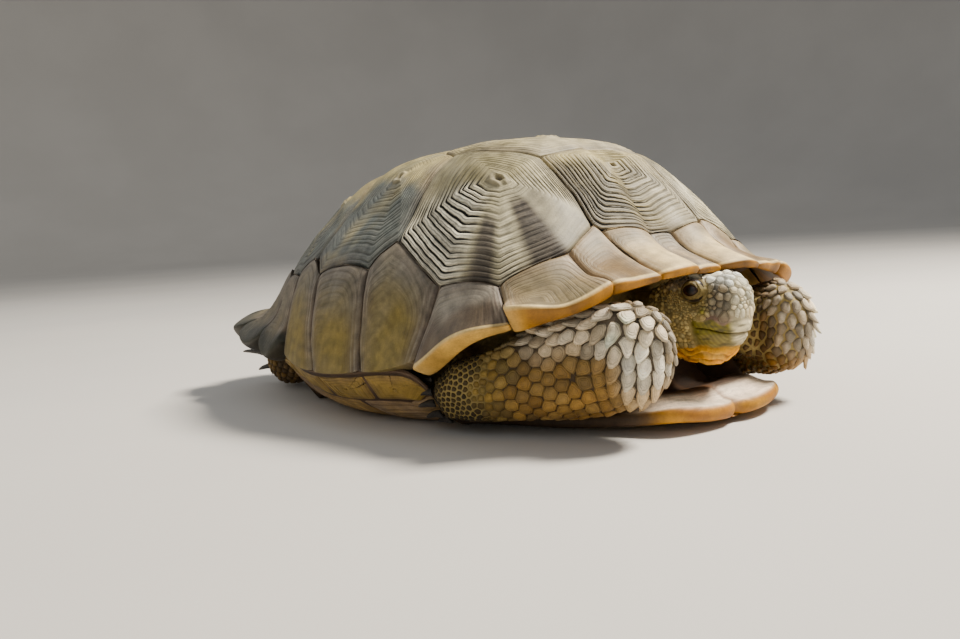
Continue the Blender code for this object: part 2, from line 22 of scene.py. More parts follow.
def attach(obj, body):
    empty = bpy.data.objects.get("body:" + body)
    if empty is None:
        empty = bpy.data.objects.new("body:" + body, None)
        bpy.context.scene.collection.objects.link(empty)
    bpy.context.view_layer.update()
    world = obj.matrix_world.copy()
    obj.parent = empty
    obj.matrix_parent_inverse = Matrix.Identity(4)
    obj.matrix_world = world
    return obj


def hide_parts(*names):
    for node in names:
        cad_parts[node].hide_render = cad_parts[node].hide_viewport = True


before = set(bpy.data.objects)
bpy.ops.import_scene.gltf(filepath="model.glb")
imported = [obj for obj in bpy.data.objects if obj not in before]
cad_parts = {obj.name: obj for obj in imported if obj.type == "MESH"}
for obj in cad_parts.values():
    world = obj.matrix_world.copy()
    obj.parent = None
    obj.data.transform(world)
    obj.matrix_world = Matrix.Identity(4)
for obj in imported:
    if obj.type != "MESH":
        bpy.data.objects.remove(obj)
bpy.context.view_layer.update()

Array = np.ndarray
Colour = tuple[float, float, float]
Place = tuple[float, float]
PlaceReader = Callable[[Array], Array]
Shaping = Callable[[Array, Array], tuple[Array, dict[str, Array]]]

BODY = "root"
CARAPACE_LENGTH = 0.250
UNIT = CARAPACE_LENGTH / 0.97
BOX_MIDDLE = -0.0115
WELD = 1e-6
MERGE = 1e-5
ABOVE_FLOOR = 0.0002
log = logging.getLogger("tortoise")


# ---------------------------------------------------------------- numbers
def to_row(body: Array) -> Array:
    """Turn body places into metres in the row frame.

    Args:
        body: Rows of (forward, left, up) in UNITs.

    Returns:
        Rows of (x, y, z) in metres.
    """
    forward, left, up = np.asarray(body, float).T
    return np.column_stack((left * UNIT, (BOX_MIDDLE - forward) * UNIT, up * UNIT))


def to_body(row: Array) -> Array:
    """Turn metres in the row frame into body places.

    Args:
        row: Rows of (x, y, z) in metres.

    Returns:
        Rows of (forward, left, up) in UNITs.
    """
    x, y, z = np.asarray(row, float).T
    return np.column_stack((BOX_MIDDLE - y / UNIT, x / UNIT, z / UNIT))


def step(low: float, high: float, value: Array) -> Array:
    """Rise smoothly from 0 at low to 1 at high.

    Args:
        low: Value at which the rise starts.
        high: Value at which it ends; it may be the smaller of the two.
        value: Where to read it.

    Returns:
        A share from 0 to 1 for each value.
    """
    share = np.clip((np.asarray(value, float) - low) / (high - low), 0.0, 1.0)
    return share * share * (3.0 - 2.0 * share)


def hump(centre: float, width: float, value: Array) -> Array:
    """A bell of height 1.

    Args:
        centre: Where the bell stands.
        width: Distance at which it has fallen to about a third.
        value: Where to read it.

    Returns:
        The bell's height for each value.
    """
    return np.exp(-(((np.asarray(value, float) - centre) / width) ** 2))


def unit_rows(rows: Array) -> Array:
    """Scale each row to length 1."""
    return rows / np.maximum(np.linalg.norm(rows, axis=-1, keepdims=True), 1e-12)


def blend(low: Array | Colour, *layers: tuple[Array | Colour, Array]) -> Array:
    """Lay colours over each other.

    Args:
        low: The first colour, or a row for each point.
        layers: Pairs of a colour and its share for each point.

    Returns:
        An RGB row for each point.
    """
    tint = np.asarray(low, float)
    for high, share in layers:
        tint = tint + (np.asarray(high, float) - tint) * np.asarray(share)[..., None]
    return tint


@dataclass(frozen=True)
class Wander:
    """Smooth seeded noise: a few waves in random directions.

    Attributes:
        size: Length of its middle wave, in metres.
        seed: Seed of its directions.
        waves: How many waves it adds up.
    """

    size: float
    seed: int
    waves: int = 10

    def at(self, spots: Array) -> Array:
        """Read the noise.

        Args:
            spots: Rows of (x, y, z) in metres.

        Returns:
            A value of about -1 to 1 for each row.
        """
        random = np.random.default_rng(self.seed)
        ways = unit_rows(random.normal(size=(self.waves, 3)))
        lengths = self.size * random.uniform(0.6, 1.7, self.waves)
        phases = random.uniform(0, 2 * math.pi, self.waves)
        turns = np.asarray(spots, float) @ (ways / lengths[:, None]).T * 2 * math.pi + phases
        return np.sin(turns).sum(axis=1) / math.sqrt(self.waves)


def clouds(spots: Array, seed: int, coarse: float, fine: float, share: float = 0.25) -> Array:
    """Half a coarse noise and a share of a fine one; their sizes are in metres."""
    return Wander(coarse, seed).at(spots) * 0.5 + Wander(fine, seed + 1).at(spots) * share


@dataclass(frozen=True)
class Table:
    """A smooth curve through rows of values, read by key.

    Attributes:
        keys: Rising keys.
        rows: One row of values for each key.
    """

    keys: tuple[float, ...]
    rows: tuple[tuple[float, ...], ...]

    @classmethod
    def of(cls, *lines: tuple[float, ...]) -> "Table":
        """Make a table from lines that each start with their key."""
        return cls(tuple(line[0] for line in lines), tuple(tuple(line[1:]) for line in lines))

    @classmethod
    def mirrored(cls, *lines: tuple[float, ...]) -> "Table":
        """Make an angle table from 0 to 180 that runs on evenly past both ends."""
        ahead, behind = (-lines[1][0], *lines[1][1:]), (360 - lines[-2][0], *lines[-2][1:])
        return cls.of(ahead, *lines, behind)

    def at(self, key: Array) -> Array:
        """Read the curve.

        Args:
            key: Where to read it.

        Returns:
            One row of values for each key.
        """
        keys = np.asarray(self.keys, float)
        rows = np.asarray(self.rows, float)
        last = len(keys) - 1
        index = np.arange(last + 1)
        before, after = np.maximum(index - 1, 0), np.minimum(index + 1, last)
        slopes = (rows[after] - rows[before]) / (keys[after] - keys[before])[:, None]
        key = np.asarray(key, float)
        span = np.clip(np.searchsorted(keys, key, side="right") - 1, 0, last - 1)
        width = (keys[span + 1] - keys[span])[:, None]
        t = (key - keys[span])[:, None] / width
        return (
            (2 * t**3 - 3 * t**2 + 1) * rows[span]
            + (t**3 - 2 * t**2 + t) * width * slopes[span]
            + (3 * t**2 - 2 * t**3) * rows[span + 1]
            + (t**3 - t**2) * width * slopes[span + 1]
        )


def disc(angle: Array, level: Array) -> Array:
    """Chart places as points on the unit disc.

    Args:
        angle: Degrees from the front, left positive.
        level: Share of the way from the middle to the edge.

    Returns:
        Rows of (u, v).
    """
    turn = np.radians(np.asarray(angle, float))
    return np.stack((np.asarray(level) * np.cos(turn), np.asarray(level) * np.sin(turn)), axis=-1)


# ---------------------------------------------------------------- shell forms
APEX_FORWARD = -0.028
DOME_HEIGHT = 0.440
CHART_STEP = 0.012
FLARE_START = 0.80
RIM = Table.mirrored(
    (0, 0.480, 0.223), (8, 0.503, 0.227), (18, 0.504, 0.215), (28, 0.518, 0.193),
    (42, 0.490, 0.171), (58, 0.428, 0.110), (75, 0.402, 0.091), (90, 0.396, 0.087),
    (108, 0.394, 0.104), (125, 0.416, 0.114), (140, 0.454, 0.119), (155, 0.474, 0.133),
    (169, 0.474, 0.127), (180, 0.468, 0.110),
)
FLARE = Table.mirrored(
    (0, 0.0), (110, 0.0), (125, 0.012), (137, 0.036), (147, 0.060), (158, 0.034), (171, 0.012),
    (180, 0.006),
)
FRONT_SECTION = Table.of(
    (0, 0, 1), (0.25, 0.30, 0.99), (0.50, 0.54, 0.88), (0.70, 0.69, 0.58), (0.82, 0.80, 0.28),
    (0.91, 0.87, 0.13), (1, 1, 0),
)
SIDE_SECTION = Table.of(
    (0, 0, 1), (0.25, 0.275, 0.972), (0.50, 0.50, 0.872), (0.70, 0.70, 0.655),
    (0.82, 0.875, 0.43), (0.91, 0.965, 0.175), (1, 1, 0),
)
REAR_SECTION = Table.of(
    (0, 0, 1), (0.25, 0.275, 0.95), (0.50, 0.53, 0.785), (0.70, 0.735, 0.522),
    (0.82, 0.845, 0.30), (0.91, 0.93, 0.124), (1, 1, 0),
)
PLASTRON_EDGE = Table.mirrored(
    (0, 0.524, 0.010), (7, 0.528, 0.013), (13, 0.520, 0.018), (17, 0.492, 0.014),
    (25, 0.425, 0.006), (36, 0.358, 0.003), (46, 0.330, 0.003), (51, 0.345, 0.010),
    (57, 0.412, 0.088), (64, 0.415, 0.099), (75, 0.402, 0.091), (90, 0.396, 0.087), (108, 0.394, 0.104),
    (116, 0.402, 0.108), (122, 0.335, 0.010), (136, 0.350, 0.003), (152, 0.390, 0.003),
    (166, 0.415, 0.004), (174, 0.405, 0.004), (180, 0.370, 0.004),
)
PLASTRON_FLAT_SHARE = 0.68
PLATE_GAP = 0.0009
CORNER_ROUNDING = 0.0045
RIM_GAP = 0.00028
RIM_TOP_GAP = 0.0035
RIM_THIN = 0.0022


class Form:
    """A smooth shell surface over the unit disc."""

    facing: float = 1.0

    def surface(self, angle: Array, level: Array) -> Array:
        """Read the surface at chart places.

        Args:
            angle: Degrees from the front, left positive.
            level: Share of the way from the middle to the edge.

        Returns:
            Rows of (x, y, z) in metres.
        """
        raise NotImplementedError

    def on_disc(self, spots: Array) -> Array:
        """Read the surface at points of the disc."""
        level = np.minimum(np.hypot(spots[:, 0], spots[:, 1]), 1.0)
        return self.surface(np.degrees(np.arctan2(spots[:, 1], spots[:, 0])), level)

    def normals(self, spots: Array) -> Array:
        """Outward directions at points of the disc.

        Args:
            spots: Rows of (u, v).

        Returns:
            Rows of unit vectors.
        """
        radius = np.maximum(np.hypot(spots[:, 0], spots[:, 1]), 1e-6)
        inside = spots * np.minimum(1.0, (1.0 - CHART_STEP) / radius)[:, None]
        ahead, aside = np.array((CHART_STEP, 0.0)), np.array((0.0, CHART_STEP))
        along = self.on_disc(inside + ahead) - self.on_disc(inside - ahead)
        across = self.on_disc(inside + aside) - self.on_disc(inside - aside)
        return unit_rows(np.cross(along, across)) * self.facing


class UpperForm(Form):
    """The domed upper shell, out to its rim."""

    facing = 1.0

    def surface(self, angle: Array, level: Array) -> Array:
        """Read the dome at chart places.

        Args:
            angle: Degrees from the front, left positive.
            level: 0 at the top of the dome, 1 at the rim.

        Returns:
            Rows of (x, y, z) in metres.
        """
        angle, level = np.broadcast_arrays(np.asarray(angle, float), np.asarray(level, float))
        turned = np.abs((angle + 180) % 360 - 180)
        reach, rim_height = RIM.at(turned).T
        turn = np.radians(angle)
        front = np.where(np.cos(turn) > 0, np.cos(turn) ** 2, 0.0)
        rear = np.where(np.cos(turn) < 0, np.cos(turn) ** 2, 0.0)
        share = (
            FRONT_SECTION.at(level) * front[:, None]
            + SIDE_SECTION.at(level) * (np.sin(turn) ** 2)[:, None]
            + REAR_SECTION.at(level) * rear[:, None]
        )
        lip = np.maximum(0.0, (level - FLARE_START) / (1 - FLARE_START))
        radius = reach * share[:, 0] + FLARE.at(turned)[:, 0] * lip**2
        up = rim_height + (DOME_HEIGHT - rim_height) * share[:, 1]
        return to_row(np.column_stack(
            (APEX_FORWARD + radius * np.cos(turn), radius * np.sin(turn), up)
        ))


class LowerForm(Form):
    """The flat lower shell, whose sides rise to the rim at the bridge."""

    facing = -1.0

    def surface(self, angle: Array, level: Array) -> Array:
        """Read the underside at chart places.

        Args:
            angle: Degrees from the front, left positive.
            level: Share of the way out to the edge.

        Returns:
            Rows of (x, y, z) in metres.
        """
        angle, level = np.broadcast_arrays(np.asarray(angle, float), np.asarray(level, float))
        turned = np.abs((angle + 180) % 360 - 180)
        reach, lift = PLASTRON_EDGE.at(turned).T
        rise = np.maximum(0.0, (level - PLASTRON_FLAT_SHARE) / (1 - PLASTRON_FLAT_SHARE))
        turn = np.radians(angle)
        radius = reach * level
        return to_row(np.column_stack((
            APEX_FORWARD + radius * np.cos(turn), radius * np.sin(turn),
            np.maximum(lift, 0.0) * rise**2,
        )))

    def chart_of(self, forward: float, left: float) -> Place:
        """Chart place under a spot of the body seen from below.

        Args:
            forward: How far forward, in UNITs.
            left: How far left, in UNITs.

        Returns:
            Its (angle, level), with the level held just inside the edge.
        """
        angle = math.degrees(math.atan2(left, forward - APEX_FORWARD))
        reach = float(PLASTRON_EDGE.at(np.array([abs(angle)]))[0, 0])
        return angle, min(math.hypot(left, forward - APEX_FORWARD) / reach, 0.985)


# ---------------------------------------------------------------- meshes
def new_piece(name: str, mesh: Mesh, material: Material) -> Object:
    """Give a finished mesh an object at the origin and a material.

    Args:
        name: Name of the piece.
        mesh: Its mesh, in the row frame.
        material: Its finish.

    Returns:
        The object, linked to the scene.
    """
    mesh.materials.clear()
    mesh.materials.append(material)
    mesh.shade_smooth()
    piece = bpy.data.objects.new(name, mesh)
    bpy.context.scene.collection.objects.link(piece)
    return piece


def cast(shape: bmesh.types.BMesh, name: str) -> Mesh:
    """Turn a finished shape into a mesh.

    Args:
        shape: The shape, which is freed.
        name: Name of the mesh.

    Returns:
        The mesh.
    """
    mesh = bpy.data.meshes.new(name)
    shape.to_mesh(mesh)
    shape.free()
    return mesh


def nearest(tree: BVHTree, spots: Array) -> tuple[Array, Array]:
    """Nearest places on a surface and its outward directions there."""
    found = [tree.find_nearest(Vector(spot)) for spot in spots]
    return np.array([hit[0][:] for hit in found]), np.array([hit[1][:] for hit in found])


def read_rows(items: bpy.types.bpy_prop_collection, name: str) -> Array:
    """Read a place or a direction of every point.

    Args:
        items: The points, or their normals.
        name: Name of what is read.

    Returns:
        Rows of (x, y, z).
    """
    flat = np.empty(len(items) * 3, np.float32)
    items.foreach_get(name, flat)
    return flat.reshape(-1, 3).astype(float)


def coordinates(mesh: Mesh) -> Array:
    """A mesh's points as rows of (x, y, z)."""
    return read_rows(mesh.vertices, "co")


def move_points(mesh: Mesh, spots: Array) -> None:
    """Put a mesh's points at new places."""
    mesh.vertices.foreach_set("co", np.asarray(spots, np.float32).ravel())
    mesh.update()


def point_normals(mesh: Mesh) -> Array:
    """A mesh's smooth normals, one row for each point."""
    return read_rows(mesh.vertex_normals, "vector")


def mark(mesh: Mesh, marks: dict[str, Array]) -> None:
    """Write values or colours on a mesh's points.

    Args:
        mesh: The mesh.
        marks: For each attribute's name, a number or an RGB row for each point.
    """
    for name, values in marks.items():
        if values.ndim == 1:
            made = mesh.attributes.new(name, "FLOAT", "POINT")
            made.data.foreach_set("value", values.astype(np.float32))
        else:
            made = mesh.attributes.new(name, "FLOAT_COLOR", "POINT")
            full = np.column_stack((vivid(values), np.ones(len(values)))).astype(np.float32)
            made.data.foreach_set("color", full.ravel())


def vivid(tint: Array, strength: float = 1.32) -> Array:
    """Deepen colours without changing how light they are.

    Args:
        tint: RGB rows.
        strength: How much further from grey they get.

    Returns:
        RGB rows.
    """
    grey = (tint @ np.array((0.25, 0.62, 0.13)))[:, None]
    return np.clip(grey + (tint - grey) * strength, 0.002, 0.9)


def grown_grid(name: str, rows: int, columns: int, shape_of: Shaping) -> Mesh:
    """Shape a grid into a closed piece and weld its seams.

    Args:
        name: Name of the mesh.
        rows: How many steps the grid has one way.
        columns: How many steps it has the other way.
        shape_of: Gives, for each point's row number and share of the columns, its place and
            a dictionary of marks.

    Returns:
        The mesh, closed and facing out.
    """
    shape = bmesh.new()
    bmesh.ops.create_grid(shape, x_segments=rows, y_segments=columns, size=1.0)
    mesh = cast(shape, name)
    flat = coordinates(mesh)
    row = np.rint((flat[:, 0] + 1) / 2 * rows).astype(int)
    spots, marks = shape_of(row, np.clip((flat[:, 1] + 1) / 2, 0, 1))
    move_points(mesh, spots)
    mark(mesh, marks)
    shape = bmesh.new()
    shape.from_mesh(mesh)
    bmesh.ops.remove_doubles(shape, verts=shape.verts, dist=WELD)
    open_edges = [edge for edge in shape.edges if edge.is_boundary]
    if open_edges:
        bmesh.ops.holes_fill(shape, edges=open_edges)
    bmesh.ops.recalc_face_normals(shape, faces=shape.faces)
    shape.to_mesh(mesh)
    shape.free()
    return mesh


def joined(name: str, meshes: list[Mesh]) -> Mesh:
    """Join meshes that carry the same marks.

    Args:
        name: Name of the new mesh.
        meshes: The meshes, which are removed.

    Returns:
        One mesh that holds them all.
    """
    shape = bmesh.new()
    for mesh in meshes:
        shape.from_mesh(mesh)
    whole = cast(shape, name)
    for mesh in meshes:
        bpy.data.meshes.remove(mesh)
    return whole


def evaluated(piece: Object) -> Mesh:
    """The piece's mesh with its modifiers applied."""
    graph = bpy.context.evaluated_depsgraph_get()
    return bpy.data.meshes.new_from_object(piece.evaluated_get(graph), depsgraph=graph)


def keep(piece: Object, slot: str, *nodes: str) -> Object:
    """Let a piece ride on the body and hide the solids it stands for.

    Args:
        piece: The finished piece.
        slot: The record's material slot; not used.
        nodes: Solids that it replaces.

    Returns:
        The same piece.
    """
    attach(piece, BODY)
    if nodes:
        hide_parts(*nodes)
    log.info("%s: %d faces", piece.name, len(piece.data.polygons))
    return piece


# ---------------------------------------------------------------- shared shader parts
class Signal:
    """A number or colour that runs through nodes, reckoned with like a plain number."""

    def __init__(self, graph: "Graph", socket: NodeSocket) -> None:
        """Hold the socket that gives it."""
        self.graph, self.socket = graph, socket

    def __add__(self, other: object) -> "Signal":
        """Add a number."""
        return self.graph.maths("ADD", self, other)

    def __sub__(self, other: object) -> "Signal":
        """Take a number away."""
        return self.graph.maths("SUBTRACT", self, other)

    def __rsub__(self, other: object) -> "Signal":
        """Take this away from a number."""
        return self.graph.maths("SUBTRACT", other, self)

    def __mul__(self, other: object) -> "Signal":
        """Multiply by a number."""
        return self.graph.maths("MULTIPLY", self, other)

    def __truediv__(self, other: object) -> "Signal":
        """Divide by a number."""
        return self.graph.maths("DIVIDE", self, other)

    def __rtruediv__(self, other: object) -> "Signal":
        """Divide a number by this."""
        return self.graph.maths("DIVIDE", other, self)

    __radd__, __rmul__ = __add__, __mul__


class Graph:
    """Lays out the nodes of one tree with short calls."""

    def __init__(self, tree: NodeTree) -> None:
        """Start on a tree."""
        self.tree = tree

    def feed(self, socket: NodeSocket, value: object) -> None:
        """Link a socket to a signal, or set its value.

        Args:
            socket: The input to fill.
            value: A signal, a number, a vector or a colour.
        """
        if isinstance(value, Signal):
            self.tree.links.new(value.socket, socket)
        else:
            socket.default_value = (*value, 1.0) if socket.type == "RGBA" else value

    def node(self, kind: str, inputs: dict[object, object], **settings: object) -> Node:
        """Add a node.

        Args:
            kind: Its kind.
            inputs: What goes in, by the input's name or number.
            settings: Its properties.

        Returns:
            The node.
        """
        made = self.tree.nodes.new(f"ShaderNode{kind}")
        for name, value in settings.items():
            setattr(made, name, value)
        for name, value in inputs.items():
            self.feed(made.inputs[name], value)
        return made

    def signal(self, output: object, kind: str, inputs: dict[object, object], **settings: object) -> Signal:
        """Add a node and take one of its outputs."""
        return Signal(self, self.node(kind, inputs, **settings).outputs[output])

    def mark(self, name: str, colour: bool = False) -> Signal:
        """Read a mark that the mesh carries."""
        return self.signal("Color" if colour else "Fac", "Attribute", {}, attribute_name=name)

    def maths(self, operation: str, *values: object) -> Signal:
        """Work out one number."""
        return self.signal(0, "Math", dict(enumerate(values)), operation=operation)

    def between(
        self, value: object, low: float, high: float, start: float = 0.0, end: float = 1.0
    ) -> Signal:
        """Carry a number smoothly from the range low..high to start..end, and hold it there."""
        ends = {"Value": value, "From Min": low, "From Max": high, "To Min": start, "To Max": end}
        return self.signal("Result", "MapRange", ends, interpolation_type="SMOOTHSTEP")

    def mix(self, share: object, low: object, high: object) -> Signal:
        """Mix two colours."""
        return self.signal(2, "Mix", {0: share, 6: low, 7: high}, data_type="RGBA")

    def scaled(self, colour: object, factor: object) -> Signal:
        """Make a colour lighter or darker."""
        return self.signal(0, "VectorMath", {0: colour, "Scale": factor}, operation="SCALE")

    def places(self) -> Signal:
        """The object's own coordinates."""
        return self.signal("Object", "TexCoord", {})

    def noise(self, scale: object, detail: float = 2.0, w: object = None, rough: float = 0.5) -> Signal:
        """Cloudy noise on the object's own coordinates.

        Args:
            scale: How many clouds there are in a metre.
            detail: How many finer layers it adds.
            w: A fourth coordinate, if the noise changes along it.
            rough: How strong the finer layers are.

        Returns:
            A number from 0 to 1.
        """
        inputs = {"Vector": self.places(), "Scale": scale, "Detail": detail, "Roughness": rough}
        if w is None:
            return self.signal("Fac", "TexNoise", inputs, noise_dimensions="3D")
        return self.signal("Fac", "TexNoise", {**inputs, "W": w}, noise_dimensions="4D")

    def cells(self, scale: float) -> Signal:
        """Distance from the middles of scattered cells, on the object's own coordinates."""
        return self.signal("Distance", "TexVoronoi", {"Vector": self.places(), "Scale": scale})

    def bump(self, height: object, depth: float, strength: float) -> Signal:
        """Roughen a surface: depth is how deep in metres a height of 1 is."""
        return self.signal("Normal", "Bump", {"Height": height, "Distance": depth, "Strength": strength})


class MaterialGraph(Graph):
    """The nodes of a new material."""

    def __init__(self, name: str) -> None:
        """Start the material."""
        self.material = bpy.data.materials.new(name)
        self.material.use_nodes = True
        super().__init__(self.material.node_tree)

    def finished(self, values: dict[str, object]) -> Material:
        """Fill the shader.

        Args:
            values: Numbers, colours or signals by the name of the shader's input.

        Returns:
            The material.
        """
        for name, value in values.items():
            self.feed(self.tree.nodes["Principled BSDF"].inputs[name], value)
        return self.material


@dataclass
class SharedGroup:
    """A node group with named inputs and outputs that is built once.

    Attributes:
        name: Its name.
        takes: Names and usual values of its inputs.
        gives: Names of its outputs.
        fill: Takes a Graph and the input signals, and gives the output signals.
        made: Its tree, once it is built.
    """

    name: str
    takes: dict[str, float]
    gives: tuple[str, ...]
    fill: Callable[..., list[Signal]]
    made: NodeTree = None

    def tree(self) -> NodeTree:
        """The group's tree, made on first use.

        Returns:
            The tree.
        """
        if self.made:
            return self.made
        tree = self.made = bpy.data.node_groups.new(self.name, "ShaderNodeTree")
        for name, value in self.takes.items():
            socket = tree.interface.new_socket(name, in_out="INPUT", socket_type="NodeSocketFloat")
            socket.default_value = value
        for name in self.gives:
            tree.interface.new_socket(name, in_out="OUTPUT", socket_type="NodeSocketFloat")
        start, end = tree.nodes.new("NodeGroupInput"), tree.nodes.new("NodeGroupOutput")
        graph = Graph(tree)
        results = self.fill(graph, *[Signal(graph, start.outputs[name]) for name in self.takes])
        for name, result in zip(self.gives, results):
            graph.feed(end.inputs[name], result)
        return tree

    def place(self, graph: Graph, **values: object) -> list[Signal]:
        """Put the group in a tree and give its outputs."""
        made = graph.node("Group", values, node_tree=self.tree())
        return [Signal(graph, made.outputs[name]) for name in self.gives]


def _notch(graph: Graph, number: Signal, width: object) -> Signal:
    """1 where a number is whole, falling to 0 at a distance of width.

    Args:
        graph: Where the nodes go.
        number: The number.
        width: The distance.

    Returns:
        The notch.
    """
    share = graph.maths("FRACT", number)
    near = graph.maths("MINIMUM", share, 1.0 - share)
    return graph.between(near / width, 0.25, 1.0, 1.0, 0.0)


def _rings(graph: Graph, phase: Signal, bold: Signal) -> list[Signal]:
    """Cut grooves wherever the ring number passes a whole number.

    Args:
        graph: Where the nodes go.
        phase: The ring number.
        bold: How clear the grooves are.

    Returns:
        Grooves, fine grooves, each ring's tone, and the height.
    """
    moved = phase + (graph.noise(130, 3) - 0.5) * 0.42
    tone = graph.between(graph.noise(26, 2, graph.maths("FLOOR", moved) * 3.7), 0.32, 0.68)
    groove = _notch(graph, moved, graph.between(tone, 0, 1, 0.12, 0.26)) * bold
    fine = _notch(graph, moved * 3.0 + graph.noise(300, 2), 0.30) * bold
    return [groove, fine, tone, groove * -1.0 - fine * 0.28]


def _grain(graph: Graph, size: Signal, amount: Signal) -> list[Signal]:
    """Mottling, fine pits and scratches.

    Args:
        graph: Where the nodes go.
        size: Size of the mottling in metres.
        amount: How strong it is.

    Returns:
        A factor for the colour, and the height.
    """
    coarse, fine = graph.noise(1.0 / size, 4, rough=0.6), graph.noise(5.5 / size, 3, rough=0.6)
    both = coarse * 0.62 + fine * 0.38
    return [1.0 + (both - 0.5) * amount * 2.6, both]


def _dust(graph: Graph, amount: Signal, size: Signal) -> list[Signal]:
    """Pale dust that settles on what faces up.

    Args:
        graph: Where the nodes go.
        amount: How much of it there is.
        size: Size of its clouds in metres.

    Returns:
        Where it lies.
    """
    up = graph.signal("Z", "SeparateXYZ", {0: graph.signal("Normal", "NewGeometry", {})})
    cloud = graph.between(graph.noise(1.0 / size, 5, rough=0.65), 0.38, 0.66)
    return [graph.between(up, 0.05, 0.9) * cloud * amount]


GROWTH_RINGS = SharedGroup(
    "growth_rings", {"Phase": 0.0, "Bold": 1.0}, ("Groove", "Fine", "Tone", "Height"), _rings
)
GRAIN = SharedGroup("grain", {"Size": 0.004, "Amount": 0.3}, ("Shade", "Height"), _grain)
DUST = SharedGroup("settled_dust", {"Amount": 0.3, "Size": 0.01}, ("Mask",), _dust)


# ---------------------------------------------------------------- finishes
@dataclass(frozen=True)
class PlateFinish:
    """Ringed horn, tinted by the mesh.

    Attributes:
        name: Name of the material.
        groove: Share of the colour that is left in a groove.
        dust: How much pale dust lies on what faces up.
        dust_colour: Colour of the dust.
        roughness: Roughness of the ridges.
        relief: Depth of the bump in metres.
    """

    name: str
    groove: float = 0.14
    dust: float = 0.14
    dust_colour: Colour = (0.50, 0.44, 0.34)
    roughness: float = 0.56
    relief: float = 0.00034

    def make(self) -> Material:
        """Build the material.

        Returns:
            The material.
        """
        graph = MaterialGraph(self.name)
        bold = graph.mark("bold")
        groove, fine, tone, height = GROWTH_RINGS.place(graph, Phase=graph.mark("phase"), Bold=bold)
        shade, pits = GRAIN.place(graph, Size=0.0040, Amount=0.60)
        light = shade * (1.0 + (tone - 0.5) * bold * 0.55) * (1.0 - fine * 0.32)
        dust, = DUST.place(graph, Amount=self.dust, Size=0.016)
        colour = graph.mix(dust, graph.scaled(graph.mark("tint", True), light), self.dust_colour)
        return graph.finished({
            "Base Color": graph.scaled(colour, 1.0 - groove * (1.0 - self.groove)),
            "Roughness": self.roughness + groove * 0.25 + dust * 0.3,
            "Normal": graph.bump(height + pits * 0.55, self.relief, 0.9),
            "Specular IOR Level": 0.4,
        })


@dataclass(frozen=True)
class SkinFinish:
    """Leathery skin, tinted by the mesh and horny where it says so.

    Attributes:
        name: Name of the material.
        roughness: Roughness of the bare skin.
        horn_roughness: Roughness of the beak.
        wrinkle: Depth of the bump in metres.
    """

    name: str
    roughness: float = 0.72
    horn_roughness: float = 0.38
    wrinkle: float = 0.00045

    def make(self) -> Material:
        """Build the material.

        Returns:
            The material.
        """
        graph = MaterialGraph(self.name)
        horn = graph.mark("horn")
        shade, grain = GRAIN.place(graph, Size=0.0028, Amount=0.42)
        creases = graph.cells(700.0) * graph.between(horn, 0, 1, 1.0, 0.1)
        return graph.finished({
            "Base Color": graph.scaled(graph.mark("tint", True), shade),
            "Roughness": graph.between(horn, 0, 1, self.roughness, self.horn_roughness),
            "Normal": graph.bump(creases + grain, self.wrinkle, 0.8),
            "Specular IOR Level": 0.35,
        })


@dataclass(frozen=True)
class ScaleFinish:
    """Horny scales, each with its own tone, a worn middle, growth lines and painted shade at its edge and
    underside.

    Attributes:
        name: Name of the material.
        lines: How many growth lines a scale shows.
        rim: Share of the colour left at each scale's edge and underside, painted shade for the gap round it.
        roughness: Roughness of the horn.
    """

    name: str
    lines: float = 4.0
    rim: float = 0.35
    roughness: float = 0.52

    def make(self) -> Material:
        """Build the material.

        Returns:
            The material.
        """
        graph = MaterialGraph(self.name)
        out = graph.mark("out")
        shade, pits = GRAIN.place(graph, Size=0.0021, Amount=0.74)
        line = _notch(graph, out * self.lines + graph.noise(420, 2), 0.3) * graph.between(out, 0.25, 0.5)
        light = shade * graph.between(graph.mark("tone"), 0, 1, 0.66, 1.32) * (1.0 - line * 0.20)
        colour = graph.scaled(graph.mark("tint", True), light)
        # The sunk mark darkens each scale's edge and underside as painted shade in the gaps.
        return graph.finished({
            "Base Color": graph.scaled(colour, graph.between(graph.mark("sunk"), 0, 1, 1.0, self.rim)),
            "Roughness": graph.between(pits, 0.3, 0.7, self.roughness, 0.72),
            "Normal": graph.bump(pits - line * 0.7, 0.00030, 0.9),
            "Specular IOR Level": 0.38,
        })


@dataclass(frozen=True)
class EyeFinish:
    """A wet dark eye.

    Attributes:
        name: Name of the material.
        pupil: Colour of the pupil.
        iris: Colour of the iris.
        fleck: Colour of its paler flecks.
        rim: Colour of the iris's outer edge.
    """

    name: str = "eye_wet"
    pupil: Colour = (0.004, 0.003, 0.003)
    iris: Colour = (0.016, 0.006, 0.003)
    fleck: Colour = (0.075, 0.024, 0.008)
    rim: Colour = (0.015, 0.010, 0.008)

    def make(self) -> Material:
        """Build the material.

        Returns:
            The material.
        """
        graph = MaterialGraph(self.name)
        reach = graph.mark("from_pupil")
        flecks = graph.between(graph.noise(1900, 3), 0.45, 0.7) * graph.between(reach, 0.30, 0.45)
        colour = graph.mix(flecks, self.iris, self.fleck)
        colour = graph.mix(graph.between(reach, 0.26, 0.33), self.pupil, colour)
        return graph.finished({
            "Base Color": graph.mix(graph.between(reach, 0.56, 0.70), colour, self.rim),
            "Roughness": 0.30, "Specular IOR Level": 0.25,
            "Coat Weight": 0.12, "Coat Roughness": 0.05,
        })


